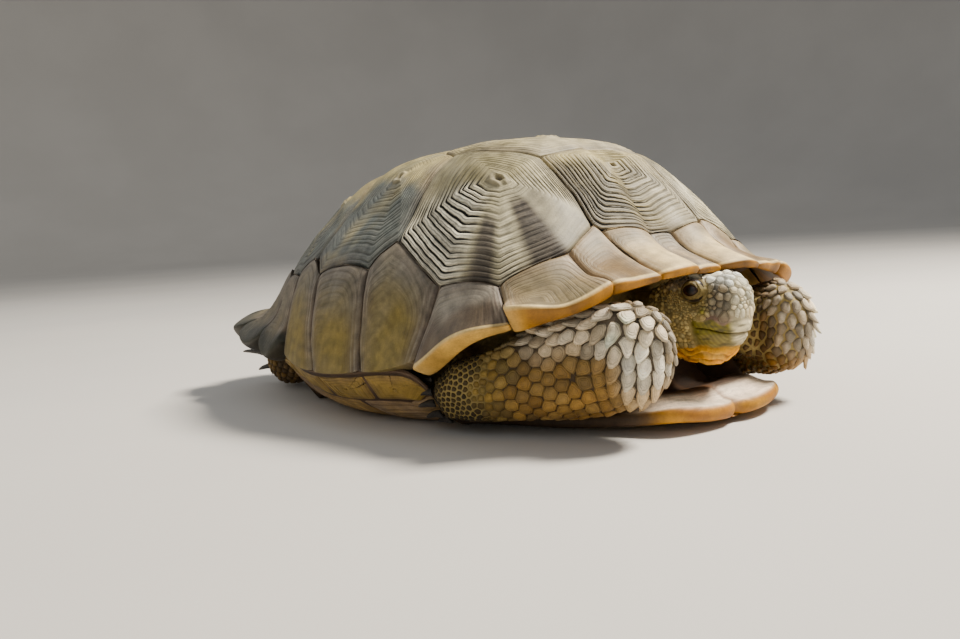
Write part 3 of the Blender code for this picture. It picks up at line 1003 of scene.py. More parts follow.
@dataclass(frozen=True)
class ClawFinish:
    """Dark horn with lengthwise streaks and a paler worn tip.

    Attributes:
        name: Name of the material.
        dark: Colour at the root.
        pale: Colour of the streaks and the tip.
    """

    name: str = "claw_horn"
    dark: Colour = (0.016, 0.013, 0.010)
    pale: Colour = (0.055, 0.044, 0.033)

    def make(self) -> Material:
        """Build the material.

        Returns:
            The material.
        """
        graph = MaterialGraph(self.name)
        shade, grain = GRAIN.place(graph, Size=0.0016, Amount=0.5)
        streak = graph.between(graph.noise(900, 3), 0.48, 0.72, 0.0, 0.35)
        share = streak + graph.between(graph.mark("tip"), 0.5, 1.0, 0.0, 0.55)
        return graph.finished({
            "Base Color": graph.scaled(graph.mix(share, self.dark, self.pale), shade),
            "Roughness": graph.between(grain, 0.3, 0.7, 0.46, 0.66),
            "Normal": graph.bump(grain, 0.0002, 0.7),
        })


@dataclass(frozen=True)
class FloorFinish:
    """Plain pale floor.

    Attributes:
        name: Name of the material.
        colour: Its colour.
    """

    name: str = "pale_floor"
    colour: Colour = (0.62, 0.59, 0.55)

    def make(self) -> Material:
        """Build the material.

        Returns:
            The material.
        """
        graph = MaterialGraph(self.name)
        cloud = graph.between(graph.noise(3.0, 3), 0.3, 0.7, 0.97, 1.03)
        return graph.finished({
            "Base Color": graph.scaled(self.colour, cloud), "Roughness": 0.85, "Specular IOR Level": 0.2,
        })


# ---------------------------------------------------------------- plates of the shell
V1_V2, V1_FRONT = (23.5, 0.545), (18.0, 0.80)
V2_SIDE, V2_V3 = (57.0, 0.40), (85.0, 0.23)
V3_SIDE, V3_V4 = (124.0, 0.42), (152.0, 0.435)
V4_SIDE, V4_V5, V5_SIDE = (155.0, 0.60), (167.0, 0.69), (166.0, 0.86)
C1_C2_FOOT, C2_C3_FOOT, C3_C4_FOOT = (66.5, 0.755), (104.0, 0.795), (133.0, 0.815)
MARGINAL_TOPS = (
    (3.5, 0.845), (16.5, 0.815), (25.5, 0.850), (39.0, 0.905), (51.5, 0.860), (74.0, 0.810),
    (95.5, 0.825), (113.0, 0.835), (127.0, 0.840), (142.0, 0.850), (156.0, 0.860), (171.0, 0.870),
)
MARGINAL_FEET = (3.0, 13.0, 22.0, 38.2, 56.0, 71.0, 88.0, 108.0, 122.0, 138.0, 153.0, 170.0)
MARGINAL_PEAKS = {1: V1_FRONT, 4: C1_C2_FOOT, 6: C2_C3_FOOT, 8: C3_C4_FOOT, 10: V5_SIDE}
RIM_THICKNESS = Table.mirrored(
    (0, 0.0026), (12, 0.0028), (22, 0.0028), (33, 0.0042), (38, 0.0054), (54, 0.0064),
    (66, 0.0050), (112, 0.0046), (150, 0.0040), (180, 0.0036),
)

UPPER = UpperForm()
LOWER = LowerForm()

HORN_TOP: Colour = (0.375, 0.318, 0.172)
HORN_RIDGE: Colour = (0.345, 0.305, 0.205)
# Darker horn of the flank, partly painted shade.
HORN_FLANK_SHADE: Colour = (0.20, 0.16, 0.105)
# Olive horn of the bridge plates, painted darker as the flank's shade.
HORN_OLIVE_SHADED: Colour = (0.180, 0.140, 0.055)
# Painted shade: the blue-grey of a flank lit only by the sky.
HORN_SKY_SHADE: Colour = (0.100, 0.110, 0.100)
HORN_SEAM: Colour = (0.115, 0.090, 0.075)
HORN_DARK: Colour = (0.045, 0.036, 0.028)
# Pale dusty, worn horn, made paler still as painted light.
HORN_DUST_AND_LIGHT: Colour = (0.78, 0.73, 0.60)
# Amber of the lips, painted darker as the shade under the front of the rim.
HORN_AMBER_SHADED: Colour = (0.33, 0.165, 0.035)
HORN_CREAM: Colour = (0.76, 0.60, 0.34)
SPOT_RIM: Colour = (0.10, 0.075, 0.05)
# Painted shade: near black on the lips of the rear lobes.
REAR_LIP_SHADE: Colour = (0.030, 0.030, 0.020)
BED_SHADE: Colour = (0.09, 0.06, 0.04)
LIP_AMBER: Colour = (0.27, 0.125, 0.025)
LIP_HONEY: Colour = (0.40, 0.215, 0.060)
LIP_ROSE: Colour = (0.80, 0.66, 0.53)
LIP_PALE: Colour = (0.88, 0.77, 0.63)
UNDER_BROWN: Colour = (0.15, 0.11, 0.08)
# Painted shade: the lower shell's edge under the legs.
LOWER_EDGE_SHADE: Colour = (0.055, 0.036, 0.022)
# Painted shade: the inner side behind the lower shell's front edge.
INNER_WALL_SHADE: Colour = (0.045, 0.026, 0.016)
NOTCH_BROWN: Colour = (0.16, 0.09, 0.05)
BED_LOW: Colour = (0.17, 0.14, 0.11)
BED_PALE: Colour = (0.30, 0.25, 0.19)
# Painted shade: the lower part of the flared rear lobes.
REAR_LOBE_SHADE: Colour = (0.020, 0.021, 0.014)


def at_level(level: float, *angles: float) -> list[Place]:
    """Chart places at one level."""
    return [(angle, level) for angle in angles]


def groove_at(number: Array, width: float) -> Array:
    """1 in a groove, where the ring number is whole, falling to 0 beside it."""
    return hump(0, width, np.abs(number - np.rint(number)))


class Outline:
    """The edge of a plate on the chart: straight sides with slightly rounded corners."""

    steps = 720

    def __init__(self, corners: list[Place], inset: float, rounding: float) -> None:
        """Lay the edge out.

        Args:
            corners: Chart places of the corners, in order.
            inset: How far the edge stays inside them, on the disc.
            rounding: Length over which a corner is rounded, on the disc.
        """
        ring = disc(*np.array(corners, float).T)
        ahead = np.roll(ring, -1, axis=0)
        area = (ring[:, 0] * ahead[:, 1] - ring[:, 1] * ahead[:, 0]).sum()
        along = unit_rows(ahead - ring)
        starts = ring + np.column_stack((-along[:, 1], along[:, 0])) * math.copysign(inset, area)
        before, before_start = np.roll(along, 1, axis=0), np.roll(starts, 1, axis=0)
        turn = before[:, 0] * along[:, 1] - before[:, 1] * along[:, 0]
        gap = starts - before_start
        crossing = gap[:, 0] * along[:, 1] - gap[:, 1] * along[:, 0]
        straight = np.abs(turn) < 1e-4
        reach = np.where(straight, 0.0, crossing / np.where(straight, 1.0, turn))
        self.corners = np.where(straight[:, None], starts, before_start + before * reach[:, None])
        count = self.steps
        closed = np.vstack((self.corners, self.corners[:1]))
        lengths = np.concatenate(([0.0], np.cumsum(np.linalg.norm(np.diff(closed, axis=0), axis=1))))
        walk = np.linspace(0, lengths[-1], count, endpoint=False)
        dense = np.column_stack([np.interp(walk, lengths, closed[:, axis]) for axis in (0, 1)])
        spread = max(rounding / (lengths[-1] / count), 0.5)
        offsets = np.arange(count)
        offsets = np.minimum(offsets, count - offsets)
        kernel = np.fft.fft(np.exp(-0.5 * (offsets / spread) ** 2))
        kernel /= kernel[0]
        self.points = np.column_stack(
            [np.fft.ifft(np.fft.fft(dense[:, axis]) * kernel).real for axis in (0, 1)]
        )

    def at(self, share: Array) -> Array:
        """Walk round the edge.

        Args:
            share: Shares of the way round.

        Returns:
            Rows of (u, v).
        """
        ring = np.vstack((self.points, self.points[:1]))
        steps = np.linspace(0, 1, len(ring))
        return np.column_stack([np.interp(share, steps, ring[:, axis]) for axis in (0, 1)])


@dataclass(frozen=True)
class Ray:
    """A sector of a plate that runs from its growth spot to its edge.

    Attributes:
        towards: Chart place that it runs towards.
        half_width: Half its width in radians.
        begin: Share of the way out at which it sets in.
        tone: How much darker it is, or paler where it is negative.
        wear: How far its grooves are worn away, or cut deeper where it is negative.
    """

    towards: Place
    half_width: float
    begin: float = 0.15
    tone: float = 0.0
    wear: float = 0.0


@dataclass(frozen=True)
class Growth:
    """How a plate has grown and worn.

    Attributes:
        rings: How many rings it has.
        strength: How clear the grooves are where nothing has worn them.
        relief: Depth of the grooves in metres.
        crown: How far its middle stands up in metres.
        areola: Share of the way out that the first growth spot takes.
        knob: How far that spot stands up in metres.
        worn_up: How much more the side towards the top of the shell is worn.
        even: How even the rings are, from 0 to 1.
    """

    rings: int = 15
    strength: float = 0.62
    relief: float = 0.00046
    crown: float = 0.0010
    areola: float = 0.11
    knob: float = 0.0009
    worn_up: float = 0.70
    even: float = 0.50


@dataclass(frozen=True)
class Paint:
    """The tones of one plate.

    Attributes:
        upper: Colour on the side towards the top of the shell.
        lower: Colour on the side towards the rim; its step from the upper colour is partly painted light and
            shade.
        border: Colour along the edge.
        spot: Colour of the first growth spot.
        border_width: How wide the edge's colour is, in metres.
        blotch: How much the tones wander.
    """

    upper: Colour = HORN_TOP
    lower: Colour = HORN_FLANK_SHADE
    border: Colour = HORN_SEAM
    spot: Colour = HORN_RIDGE
    border_width: float = 0.0045
    blotch: float = 0.55


@dataclass
class Scute:
    """One horny plate, grown out from a spot in straight-sided rings.

    Attributes:
        name: Name of its mesh.
        form: Surface that it lies on.
        corners: Its corners on the chart.
        heart: Chart place of the spot it grew from.
        seed: Seed of its own irregularities.
        growth: How it has grown.
        paint: Its tones.
        rays: Sectors that differ from the rest.
        rows: Steps from its middle to its edge.
        columns: Steps round its edge.
        depth: Its thickness in metres.
        fall: How far its edge curves down in metres.
    """

    name: str
    form: Form
    corners: list[Place]
    heart: Place
    seed: int
    growth: Growth = Growth()
    paint: Paint = Paint()
    rays: tuple[Ray, ...] = ()
    rows: int = 84
    columns: int = 184
    depth: float = 0.0022
    fall: float = 0.0007

    def mesh(self) -> Mesh:
        """Build the plate's closed mesh."""
        return grown_grid(self.name, self.rows + 5, self.columns, self._shape)

    def _ring_number(self, out: Array, spots: Array) -> Array:
        """Number of the growth ring that each point lies in.

        Args:
            out: Share of the way from the middle to the edge.
            spots: Places in metres.

        Returns:
            A number for each point, whole in the grooves.
        """
        random = np.random.default_rng(self.seed)
        count = self.growth.rings
        widths = random.uniform(self.growth.even, 2 - self.growth.even, count)
        widths *= np.linspace(1.15, 0.75, count)
        edges = np.concatenate(([0.0], np.cumsum(widths)))
        edges = self.growth.areola + (1 - self.growth.areola) * edges / edges[-1]
        uneven = Wander(0.030, self.seed).at(spots) * 0.007 + Wander(0.008, self.seed + 1).at(spots) * 0.0018
        return np.interp(out + uneven * step(0.0, 0.3, out), edges, np.arange(count + 1))

    def _sector(self, ray: Ray, bearing: Array, out: Array) -> Array:
        """How much each point belongs to a ray.

        Args:
            ray: The ray.
            bearing: Direction from the growth spot, in radians.
            out: Share of the way from the middle to the edge.

        Returns:
            A share from 0 to 1 for each point.
        """
        aim = disc(*ray.towards) - disc(*self.heart)
        apart = np.abs((bearing - math.atan2(aim[1], aim[0]) + math.pi) % (2 * math.pi) - math.pi)
        edge = step(ray.half_width * 1.5, ray.half_width * 0.45, apart)
        return edge * step(ray.begin, ray.begin + 0.20, out)

    def _shape(self, row: Array, share: Array) -> tuple[Array, dict[str, Array]]:
        """Place and mark every point of the grid.

        Args:
            row: Row number, from the middle of the top over the edge to the middle beneath.
            share: Share of the way round.

        Returns:
            Places in metres, and the marks.
        """
        outline = Outline(self.corners, PLATE_GAP, CORNER_ROUNDING)
        border = outline.at(share)
        heart = disc(*self.heart)
        way = np.minimum(row / self.rows, 1.0)
        under = np.maximum(row - self.rows, 0)
        out = np.select([under <= 1, under == 2, under == 3, under == 4], [1.0, 0.75, 0.4, 0.2], 0.0)
        out = np.where(under == 0, 1 - (1 - way) ** 1.12, out)
        chart = heart + (border - heart) * out[:, None]
        base, normal = self.form.on_disc(chart), self.form.normals(chart)
        middle = self.form.on_disc(heart[None])[0]
        reach = np.linalg.norm(self.form.on_disc(border) - middle, axis=1)
        inward = (1 - out) * reach
        number = self._ring_number(out, base)
        toward = border - heart
        bearing = np.arctan2(toward[:, 1], toward[:, 0])
        apex = -heart if self.form is UPPER else np.array((1.0, 0.0))
        upward = 0.5 + 0.5 * (toward @ apex) / np.maximum(
            np.linalg.norm(toward, axis=1) * np.linalg.norm(apex), 1e-9
        )
        patch = Wander(0.034, self.seed + 2).at(base)
        bold = self.growth.strength * (1 - self.growth.worn_up * step(0.40, 0.90, upward))
        bold *= 0.35 + 0.65 * step(1.2, -0.8, patch)
        tone = np.zeros(len(out))
        for ray in self.rays:
            sector = self._sector(ray, bearing, out)
            tone += sector * ray.tone
            bold -= sector * ray.wear
        bold = np.clip(bold, 0.05, 1.6) * step(0.05, 0.16, out)
        tread = 0.35 - groove_at(number, 0.17) - 0.25 * (number - np.floor(number))
        relief = self.growth.relief * bold * tread
        spot = step(self.growth.areola * 1.25, self.growth.areola * 0.8, out)
        pits = Wander(0.0030, self.seed + 3).at(base)
        height = self.growth.crown * (1 - out**2) + relief + self.growth.knob * spot
        height += spot * 0.0002 * pits - 0.0016 * hump(0.012, 0.030, out)
        height += 0.00022 * Wander(0.020, self.seed + 4).at(base)
        height -= self.fall * np.exp(-inward / 0.0006) + 0.0007 * np.exp(-inward / 0.0034)
        spots = base + normal * np.where(under == 0, height, -self.depth)[:, None]
        if self.form is LOWER:
            spots[:, 2] = np.maximum(spots[:, 2], 0.0)
        tint = self._tint(out, inward, upward, tone, spot, base)
        return spots, {"tint": tint, "phase": number, "bold": bold}

    def _tint(
        self, out: Array, inward: Array, upward: Array, tone: Array, spot: Array, base: Array
    ) -> Array:
        """Mix the plate's tones.

        Args:
            out: Share of the way from the middle to the edge.
            inward: Distance from the edge in metres.
            upward: How much the point lies towards the top, seen from the growth spot.
            tone: How much darker its sector is.
            spot: How much it belongs to the first growth spot.
            base: Its place.

        Returns:
            An RGB row for each point.
        """
        paint = self.paint
        cloud = clouds(base, self.seed + 5, 0.026, 0.009)
        edge = hump(0, paint.border_width, inward) * (0.40 + 0.35 * cloud)
        tint = blend(
            paint.lower,
            # The blend from the lower to the upper colour is partly painted light and shade on the dome.
            (paint.upper, np.clip(step(0.25, 0.80, upward) + paint.blotch * cloud, 0, 1)),
            (paint.border, np.clip(edge, 0, 0.9)),
            (paint.spot, spot * 0.7),
            (SPOT_RIM, hump(0.012, 0.028, out) * 0.8),
            (HORN_DARK, np.clip(tone, 0, 1)),
            # Paler sectors: partly pale dust and wear, partly painted light.
            (HORN_DUST_AND_LIGHT, np.clip(-tone, 0, 1)),
        )
        return tint * (1 + 0.16 * Wander(0.006, self.seed + 7).at(base) * (1 - spot))[:, None]


@dataclass
class RimPlate:
    """One plate of the rim: its top, a rounded lip and its underside.

    Attributes:
        name: Name of its mesh.
        tops: Chart places along its upper edge.
        feet: Angles between which it meets the rim.
        seed: Seed of its own irregularities.
        lip: How freely its edge stands out, 0 where it turns under at the bridge.
        heel: How far the lip's rear end stands out in metres.
        lobe: How far the middle of the edge bulges out in metres.
        heart: Where on the plate it grew from, along and down.
        relief: Depth of the grooves in metres.
        rings: How many rings it has.
        sunny: Colour of its upper part.
        middle: Colour of its middle.
        ends: Colour beside its seams.
        wear: How far the grooves in its middle are worn.
        strength: How clear its grooves are.
        rise: How far its lip stands above the rim at its front and rear ends.
        seam: Colour of its side walls.
        edge: Colour of the lip.
        crest: Colour along the lip's upper edge.
        rows: Steps down its top.
        columns: Steps along it.
        turn: Steps round the lip.
        under: Steps back along its underside.
    """

    name: str
    tops: list[Place]
    feet: tuple[float, float]
    seed: int
    lip: float = 1.0
    heel: float = 0.0
    lobe: float = 0.0
    heart: Place = (0.72, 0.86)
    relief: float = 0.00022
    rings: int = 11
    sunny: Colour = HORN_TOP
    middle: Colour = HORN_RIDGE
    ends: Colour = HORN_SEAM
    wear: float = 0.35
    strength: float = 0.5
    rise: Place = (0.0, 0.0)
    seam: Colour = HORN_DARK
    # The default lip colour is amber painted darker as shade.
    edge: Colour = HORN_AMBER_SHADED
    crest: Colour = HORN_CREAM
    rows: int = 64
    columns: int = 56
    turn: int = 10
    under: int = 12

    def mesh(self) -> Mesh:
        """Build the plate's closed mesh."""
        return grown_grid(self.name, self.rows + self.turn + self.under + 1, self.columns, self._shape)

    def _chart(self, along: Array, down: Array) -> Array:
        """Find points of the plate on the chart.

        Args:
            along: Share of the way along the plate.
            down: Share of the way down to the rim.

        Returns:
            Rows of (u, v).
        """
        tops = np.array(self.tops, float)
        ring = disc(tops[:, 0], tops[:, 1])
        lengths = np.concatenate(([0.0], np.cumsum(np.linalg.norm(np.diff(ring, axis=0), axis=1))))
        steps = lengths / lengths[-1]
        upper = np.column_stack([np.interp(along, steps, ring[:, axis]) for axis in (0, 1)])
        foot = self.feet[0] + (self.feet[1] - self.feet[0]) * along
        return upper + (disc(foot, np.ones_like(foot)) - upper) * down[:, None]

    def _ring_number(self, along: Array, down: Array, spots: Array) -> Array:
        """Number of the growth ring, grown out squarely from the heart.

        Args:
            along: Share of the way along the plate.
            down: Share of the way down to the rim.
            spots: Places in metres.

        Returns:
            A number for each point, whole in the grooves.
        """
        start, deep = self.heart
        side = np.where(along < start, (start - along) / start, (along - start) / (1 - start))
        rise = np.where(down < deep, (deep - down) / deep, (down - deep) / (1.15 - deep))
        out = (side**7 + np.maximum(rise, 0) ** 7) ** (1 / 7)
        random = np.random.default_rng(self.seed)
        edges = np.concatenate(([0.0], np.cumsum(random.uniform(0.6, 1.4, self.rings))))
        uneven = Wander(0.022, self.seed).at(spots) * 0.018
        return np.interp(out + uneven, 0.12 + 0.88 * edges / edges[-1], np.arange(self.rings + 1))

    def _shape(self, row: Array, share: Array) -> tuple[Array, dict[str, Array]]:
        """Place and mark every point of the grid.

        Args:
            row: Row number: down the top, round the lip and back along the underside.
            share: Share of the way along the plate.

        Returns:
            Places in metres, and the marks.
        """
        last = self.rows + self.turn + self.under
        column = np.rint(share * self.columns)
        wall = (column == 0) | (column == self.columns)
        share = np.clip((column - 1) / (self.columns - 2), 0, 1)
        around = np.clip((row - self.rows) / self.turn, 0, 1)
        back = np.clip((row - self.rows - self.turn) / self.under, 0, 1)
        down = np.where(row <= self.rows, 1 - (1 - np.minimum(row / self.rows, 1)) ** 1.1, 1 - back)
        down = np.where(row > last, 0.0, down)
        ones = np.ones_like(down)
        ends = self._between((ones * 0, down), (ones, down))
        along = RIM_GAP / ends + (1 - 2 * RIM_GAP / ends) * share
        chart = self._chart(along, RIM_TOP_GAP + (1 - RIM_TOP_GAP) * down)
        base, normal = UPPER.on_disc(chart), UPPER.normals(chart)
        angle = np.degrees(np.arctan2(chart[:, 1], chart[:, 0]))
        thick = RIM_THICKNESS.at(np.abs(angle))[:, 0]
        thick = thick + 1.1 * self.heel * step(0.25, 1.0, along)
        thick = RIM_THIN + (thick - RIM_THIN) * step(0.25, 1.0, down)
        from_side = np.minimum(share, 1 - share) * ends
        from_top = down * self._between((along, ones * 0), (along, ones))
        number = self._ring_number(along, down, base)
        patch = Wander(0.030, self.seed + 2).at(base)
        worn = self.wear * hump(0.5, 0.27, along) * step(0.15, 0.5, down)
        bold = self.strength * (1 - worn) * (0.35 + 0.65 * step(1.2, -0.8, patch)) * step(1.02, 0.93, down)
        relief = self.relief * bold * (0.35 - groove_at(number, 0.18))
        edge = 0.0006 * np.exp(-from_side / 0.0006) + 0.0006 * np.exp(-from_side / 0.0032)
        edge = edge + 0.0007 * np.exp(-from_top / 0.0007) * (row <= self.rows)
        height = relief - edge + 0.0006 * np.sin(np.pi * share) ** 0.7
        height += 0.00025 * Wander(0.016, self.seed + 4).at(base)
        height += 0.5 * self.lobe * step(0.5, 1.0, down) * np.sin(np.pi * share)
        ends_rise = self.rise[0] * step(0.5, 0.0, along) + self.rise[1] * step(0.5, 1.0, along)
        height += ends_rise * step(0.45, 1.0, down)
        outward = unit_rows(base - UPPER.on_disc(self._chart(along, np.maximum(down - 0.06, 0))))
        bulge = self.heel * step(0.55, 1.0, along) + self.lobe * (np.sin(np.pi * share) ** 0.8 - 0.5)
        bulge = bulge * step(0.55, 1.0, down) - 0.0008 * np.exp(-from_side / 0.0012) * step(0.8, 1, down)
        half = thick / 2
        swing = around * math.pi
        square = np.sign(np.cos(swing)) * np.abs(np.cos(swing)) ** 0.55
        sunk = np.where(row <= self.rows, 0.0, half * (1 - square))
        beyond = np.where(row <= self.rows, 0.0, 0.0016 * np.sin(swing) ** 0.6 * self.lip)
        sunk = np.where(back > 0, thick - edge * 0.5, sunk)
        level = np.where(row > last, height, height * (1 - around) - sunk)
        level = np.where(wall, np.where(row > last, -RIM_THIN, -thick), level)
        spots = base + normal * level[:, None]
        spots = spots + outward * np.where(wall, bulge, beyond + bulge)[:, None]
        tint = self._tint(share, down, from_side, from_top, around, back, base)
        hidden = (wall & ((down < 0.9) | (self.lip < 0.5))) | (row > last) | (back > 0.9)
        tint = np.where(hidden[:, None], self.seam, tint)
        return spots, {"tint": tint, "phase": number, "bold": bold * (1 - np.clip(around * 4, 0, 1))}

    def _between(self, start: Array, end: Array) -> Array:
        """Distance in metres between two rows of (along, down)."""
        ends = [UPPER.on_disc(self._chart(*place)) for place in (start, end)]
        return np.linalg.norm(ends[1] - ends[0], axis=1)

    def _tint(
        self, share: Array, down: Array, from_side: Array, from_top: Array, around: Array,
        back: Array, base: Array,
    ) -> Array:
        """Mix the plate's tones.

        Args:
            share: Share of the way along the plate.
            down: Share of the way down to the rim.
            from_side: Distance from the nearer seam in metres.
            from_top: Distance from the upper edge in metres.
            around: Share of the way round the lip.
            back: Share of the way back along the underside.
            base: Place.

        Returns:
            An RGB row for each point.
        """
        cloud = clouds(base, self.seed + 5, 0.024, 0.008)
        beside = hump(0, 0.0052, from_side) * (0.75 + 0.3 * cloud)
        beside = np.maximum(beside, 0.5 * hump(0, 0.006, from_top))
        pale = hump(0.0016, 0.00035, from_side) + 0.6 * hump(0.0034, 0.0004, from_side)
        cream = self.lip * step(0.965, 0.995, down) * step(0.25, 0.10, around) * (around < 0.5)
        amber = step(0.02, 0.16, around) * self.lip + (1 - self.lip) * step(0.2, 0.9, around)
        lip = blend(
            self.edge,
            # Painted shade: the lip's underside is a darker copy of its colour.
            (np.array(self.edge) * 0.6, np.clip(back * 1.6, 0, 1)),
            (self.crest, step(0.80, 1.0, share) * (self.heel > 0) * 0.3),
        )
        tint = blend(
            self.sunny,
            (self.middle, np.clip(step(0.05, 0.65, down) + 0.3 * cloud, 0, 1)),
            (self.ends, np.clip(beside, 0, 0.92)),
            (HORN_DUST_AND_LIGHT, np.clip(pale * 0.24 * (0.7 + 0.5 * cloud), 0, 1)),
            # Painted shade: the lower part of the flared rear lobes is near black.
            (REAR_LOBE_SHADE, 0.95 * step(0.62, 0.86, down) * (self.lobe > 0.004)),
            (self.crest, np.clip(cream, 0, 0.8)),
            (lip * np.clip(0.82 + 0.55 * cloud, 0.45, 1.3)[:, None], np.clip(amber, 0, 1)),
        )
        return tint * (1 + 0.14 * Wander(0.005, self.seed + 7).at(base))[:, None]


RIM_SUNNY: Colour = (0.150, 0.135, 0.105)
FRONT_TONES = {"sunny": (0.25, 0.215, 0.15), "ends": (0.30, 0.22, 0.14), "seam": (0.32, 0.25, 0.165)}
RIM_LOOKS = (
    {**FRONT_TONES, "middle": (0.66, 0.52, 0.31), "strength": 0.15},
    {**FRONT_TONES, "middle": (0.13, 0.080, 0.032), "strength": 0.2, "rise": (0.0, 0.0030)},
    {
        "sunny": (0.165, 0.145, 0.098), "middle": (0.165, 0.130, 0.075), "ends": (0.30, 0.22, 0.14),
        "seam": (0.13, 0.095, 0.06), "strength": 0.5, "heel": 0.0014, "rise": (0.0038, 0.0060),
    },
    {
        "sunny": (0.27, 0.25, 0.21), "middle": (0.095, 0.072, 0.050), "edge": (0.49, 0.315, 0.125),
        "wear": 0.85, "heel": 0.0026, "rise": (-0.0032, 0.0),
    },
)
# The bridge plates' olive is painted darker, as the shade on the flank.
RIM_BRIDGE = {"lip": 0.0, "middle": HORN_OLIVE_SHADED, "wear": 0.85, "edge": (0.12, 0.09, 0.06)}
# The rear lobes' near-black lips are painted shade.
RIM_REAR = {
    "middle": (0.15, 0.125, 0.08), "edge": (0.035, 0.030, 0.020), "crest": REAR_LIP_SHADE, "lobe": 0.0084,
    "rise": (0.0040, 0.0040),
}


class Half(Enum):
    """A side of the body."""

    LEFT = 1
    RIGHT = -1

    @property
    def word(self) -> str:
        """The side's name."""
        return self.name.lower()

    def of(self, places: list[Place]) -> list[Place]:
        """Chart places of the left side, carried to this one."""
        return [(angle * self.value, level) for angle, level in places]


@dataclass
class ShellBed:
    """The bone under the plates, seen only in the seams and under the lip.

    Attributes:
        outer: Depth of its outer face in metres.
        inner: Depth of its inner face in metres.
        edge: Chart level at which it ends.
        rows: Steps from the top to the edge.
        columns: Steps round it.
    """

    outer: float = 0.0017
    inner: float = 0.0044
    edge: float = 0.93
    rows: int = 46
    columns: int = 168

    def mesh(self) -> Mesh:
        """Build the closed mesh."""
        return grown_grid("shell_bed", 2 * self.rows + 1, self.columns, self._shape)

    def _shape(self, row: Array, share: Array) -> tuple[Array, dict[str, Array]]:
        """Place and mark every point.

        Args:
            row: Row number: out along the outer face and back along the inner.
            share: Share of the way round.

        Returns:
            Places in metres, and the marks.
        """
        out = np.where(row <= self.rows, row, 2 * self.rows + 1 - row) / self.rows
        chart = disc(share * 360, out * self.edge)
        depth = np.where(row <= self.rows, self.outer, self.inner - 0.0016 * step(0.85, 1.0, out))
        spots = UPPER.on_disc(chart) - UPPER.normals(chart) * depth[:, None]
        tint = blend(BED_LOW, (BED_PALE, step(-0.5, 1.0, Wander(0.012, 71).at(spots))))
        tint = np.where((row <= self.rows)[:, None], tint, BED_SHADE)
        nothing = np.zeros(len(out))
        return spots, {"tint": tint, "phase": nothing, "bold": nothing}


@dataclass
class LowerBed:
    """The thick rim and inner side of the lower shell.

    Attributes:
        depth: How far it lies under the plates in metres.
        edge_thickness: Thickness of its free edge.
        gular_thickness: Thickness of its edge in front, under the throat.
        wedge: How far its inner side rises behind the front edge.
        rows: Steps along its underside.
        turn: Steps round its edge.
        columns: Steps round it.
    """

    depth: float = 0.0015
    edge_thickness: float = 0.0048
    gular_thickness: float = 0.0058
    wedge: float = 0.0044
    rows: int = 50
    turn: int = 12
    columns: int = 260

    def mesh(self) -> Mesh:
        """Build the closed mesh."""
        return grown_grid("lower_shell_bed", 2 * self.rows + self.turn, self.columns, self._shape)

    def _shape(self, row: Array, share: Array) -> tuple[Array, dict[str, Array]]:
        """Place and mark every point.

        Args:
            row: Row number: out along the underside, round the edge, back along the inner side.
            share: Share of the way round.

        Returns:
            Places in metres, and the marks.
        """
        angle = share * 360 - 180
        around = np.clip((row - self.rows) / self.turn, 0, 1)
        back = np.clip((row - self.rows - self.turn) / self.rows, 0, 1)
        level = np.where(row <= self.rows, np.minimum(row / self.rows, 1) ** 0.9, 1 - back)
        base = LOWER.surface(angle, level)
        normal = LOWER.normals(disc(angle, level))
        aside = np.abs(angle)
        gular = step(19, 12, aside)
        bridge = step(50, 55, aside) * step(120, 115, aside)
        bridge_front = step(62, 50, aside)
        thick = self.edge_thickness + (self.gular_thickness - self.edge_thickness) * gular
        thick = thick * (1 - 0.7 * bridge)
        inside = base - LOWER.surface(angle, np.maximum(level - 0.05, 0))
        outward = unit_rows(inside * (1, 1, 0))
        sunk = self.depth * np.maximum(step(0.996, 0.965, level), bridge)
        swing = around * math.pi
        rise = thick / 2 * (1 - np.cos(swing))
        beyond = thick * 0.42 * np.sin(swing) * (1 - bridge) - 0.0022 * bridge * step(0.8, 1.0, level)
        beyond = beyond - 0.0030 * hump(0, 1.4, angle) * step(0.9, 1.0, level)
        wedge = 0.0035 * step(0.0, 0.34, back)
        wedge = wedge + self.wedge * gular * step(0.0, 0.09, back) * step(0.22, 0.1, back)
        # The inner side rises into dark walls that stand in for the shadow between the legs and the lower
        # shell.
        wedge = wedge + 0.0165 * step(62, 44, aside) * step(0.16, 0.34, back)
        wedge = np.maximum(wedge, 0.0195 * step(14, 20, aside) * bridge_front * step(0.02, 0.12, back))
        spots = np.where(
            (row <= self.rows)[:, None],
            base - normal * sunk[:, None],
            base + (0, 0, 1) * (rise + wedge - 0.0022 * bridge)[:, None] + outward * beyond[:, None],
        )
        spots[:, 2] = np.maximum(spots[:, 2], ABOVE_FLOOR)
        cloud = step(-1, 1, Wander(0.018, 81).at(spots))
        lip = blend(
            blend(LIP_AMBER, (LIP_HONEY, cloud)),
            (blend(LIP_ROSE, (LIP_PALE, cloud)), step(0.78, 0.98, around)),
        )
        # Painted shade: beyond the gular the edge is near black, and so is the inner side behind the front
        # edge.
        tint = blend(
            LOWER_EDGE_SHADE,
            (np.where((row <= self.rows - 2)[:, None], UNDER_BROWN, lip), step(17.5, 14.0, aside)),
            (BED_SHADE, bridge),
            (INNER_WALL_SHADE, step(0.050, 0.085, back)),
            (NOTCH_BROWN, hump(0, 0.9, angle) * step(0.1, 0.6, around) * 0.8),
        )
        lines = 26 * (1 - level) + 0.5 * Wander(0.02, 83).at(spots) + 7
        bold = 0.35 * step(0.2, 0.8, around) * gular * step(0.7, 0.3, back)
        return spots, {"tint": tint, "phase": lines, "bold": bold}


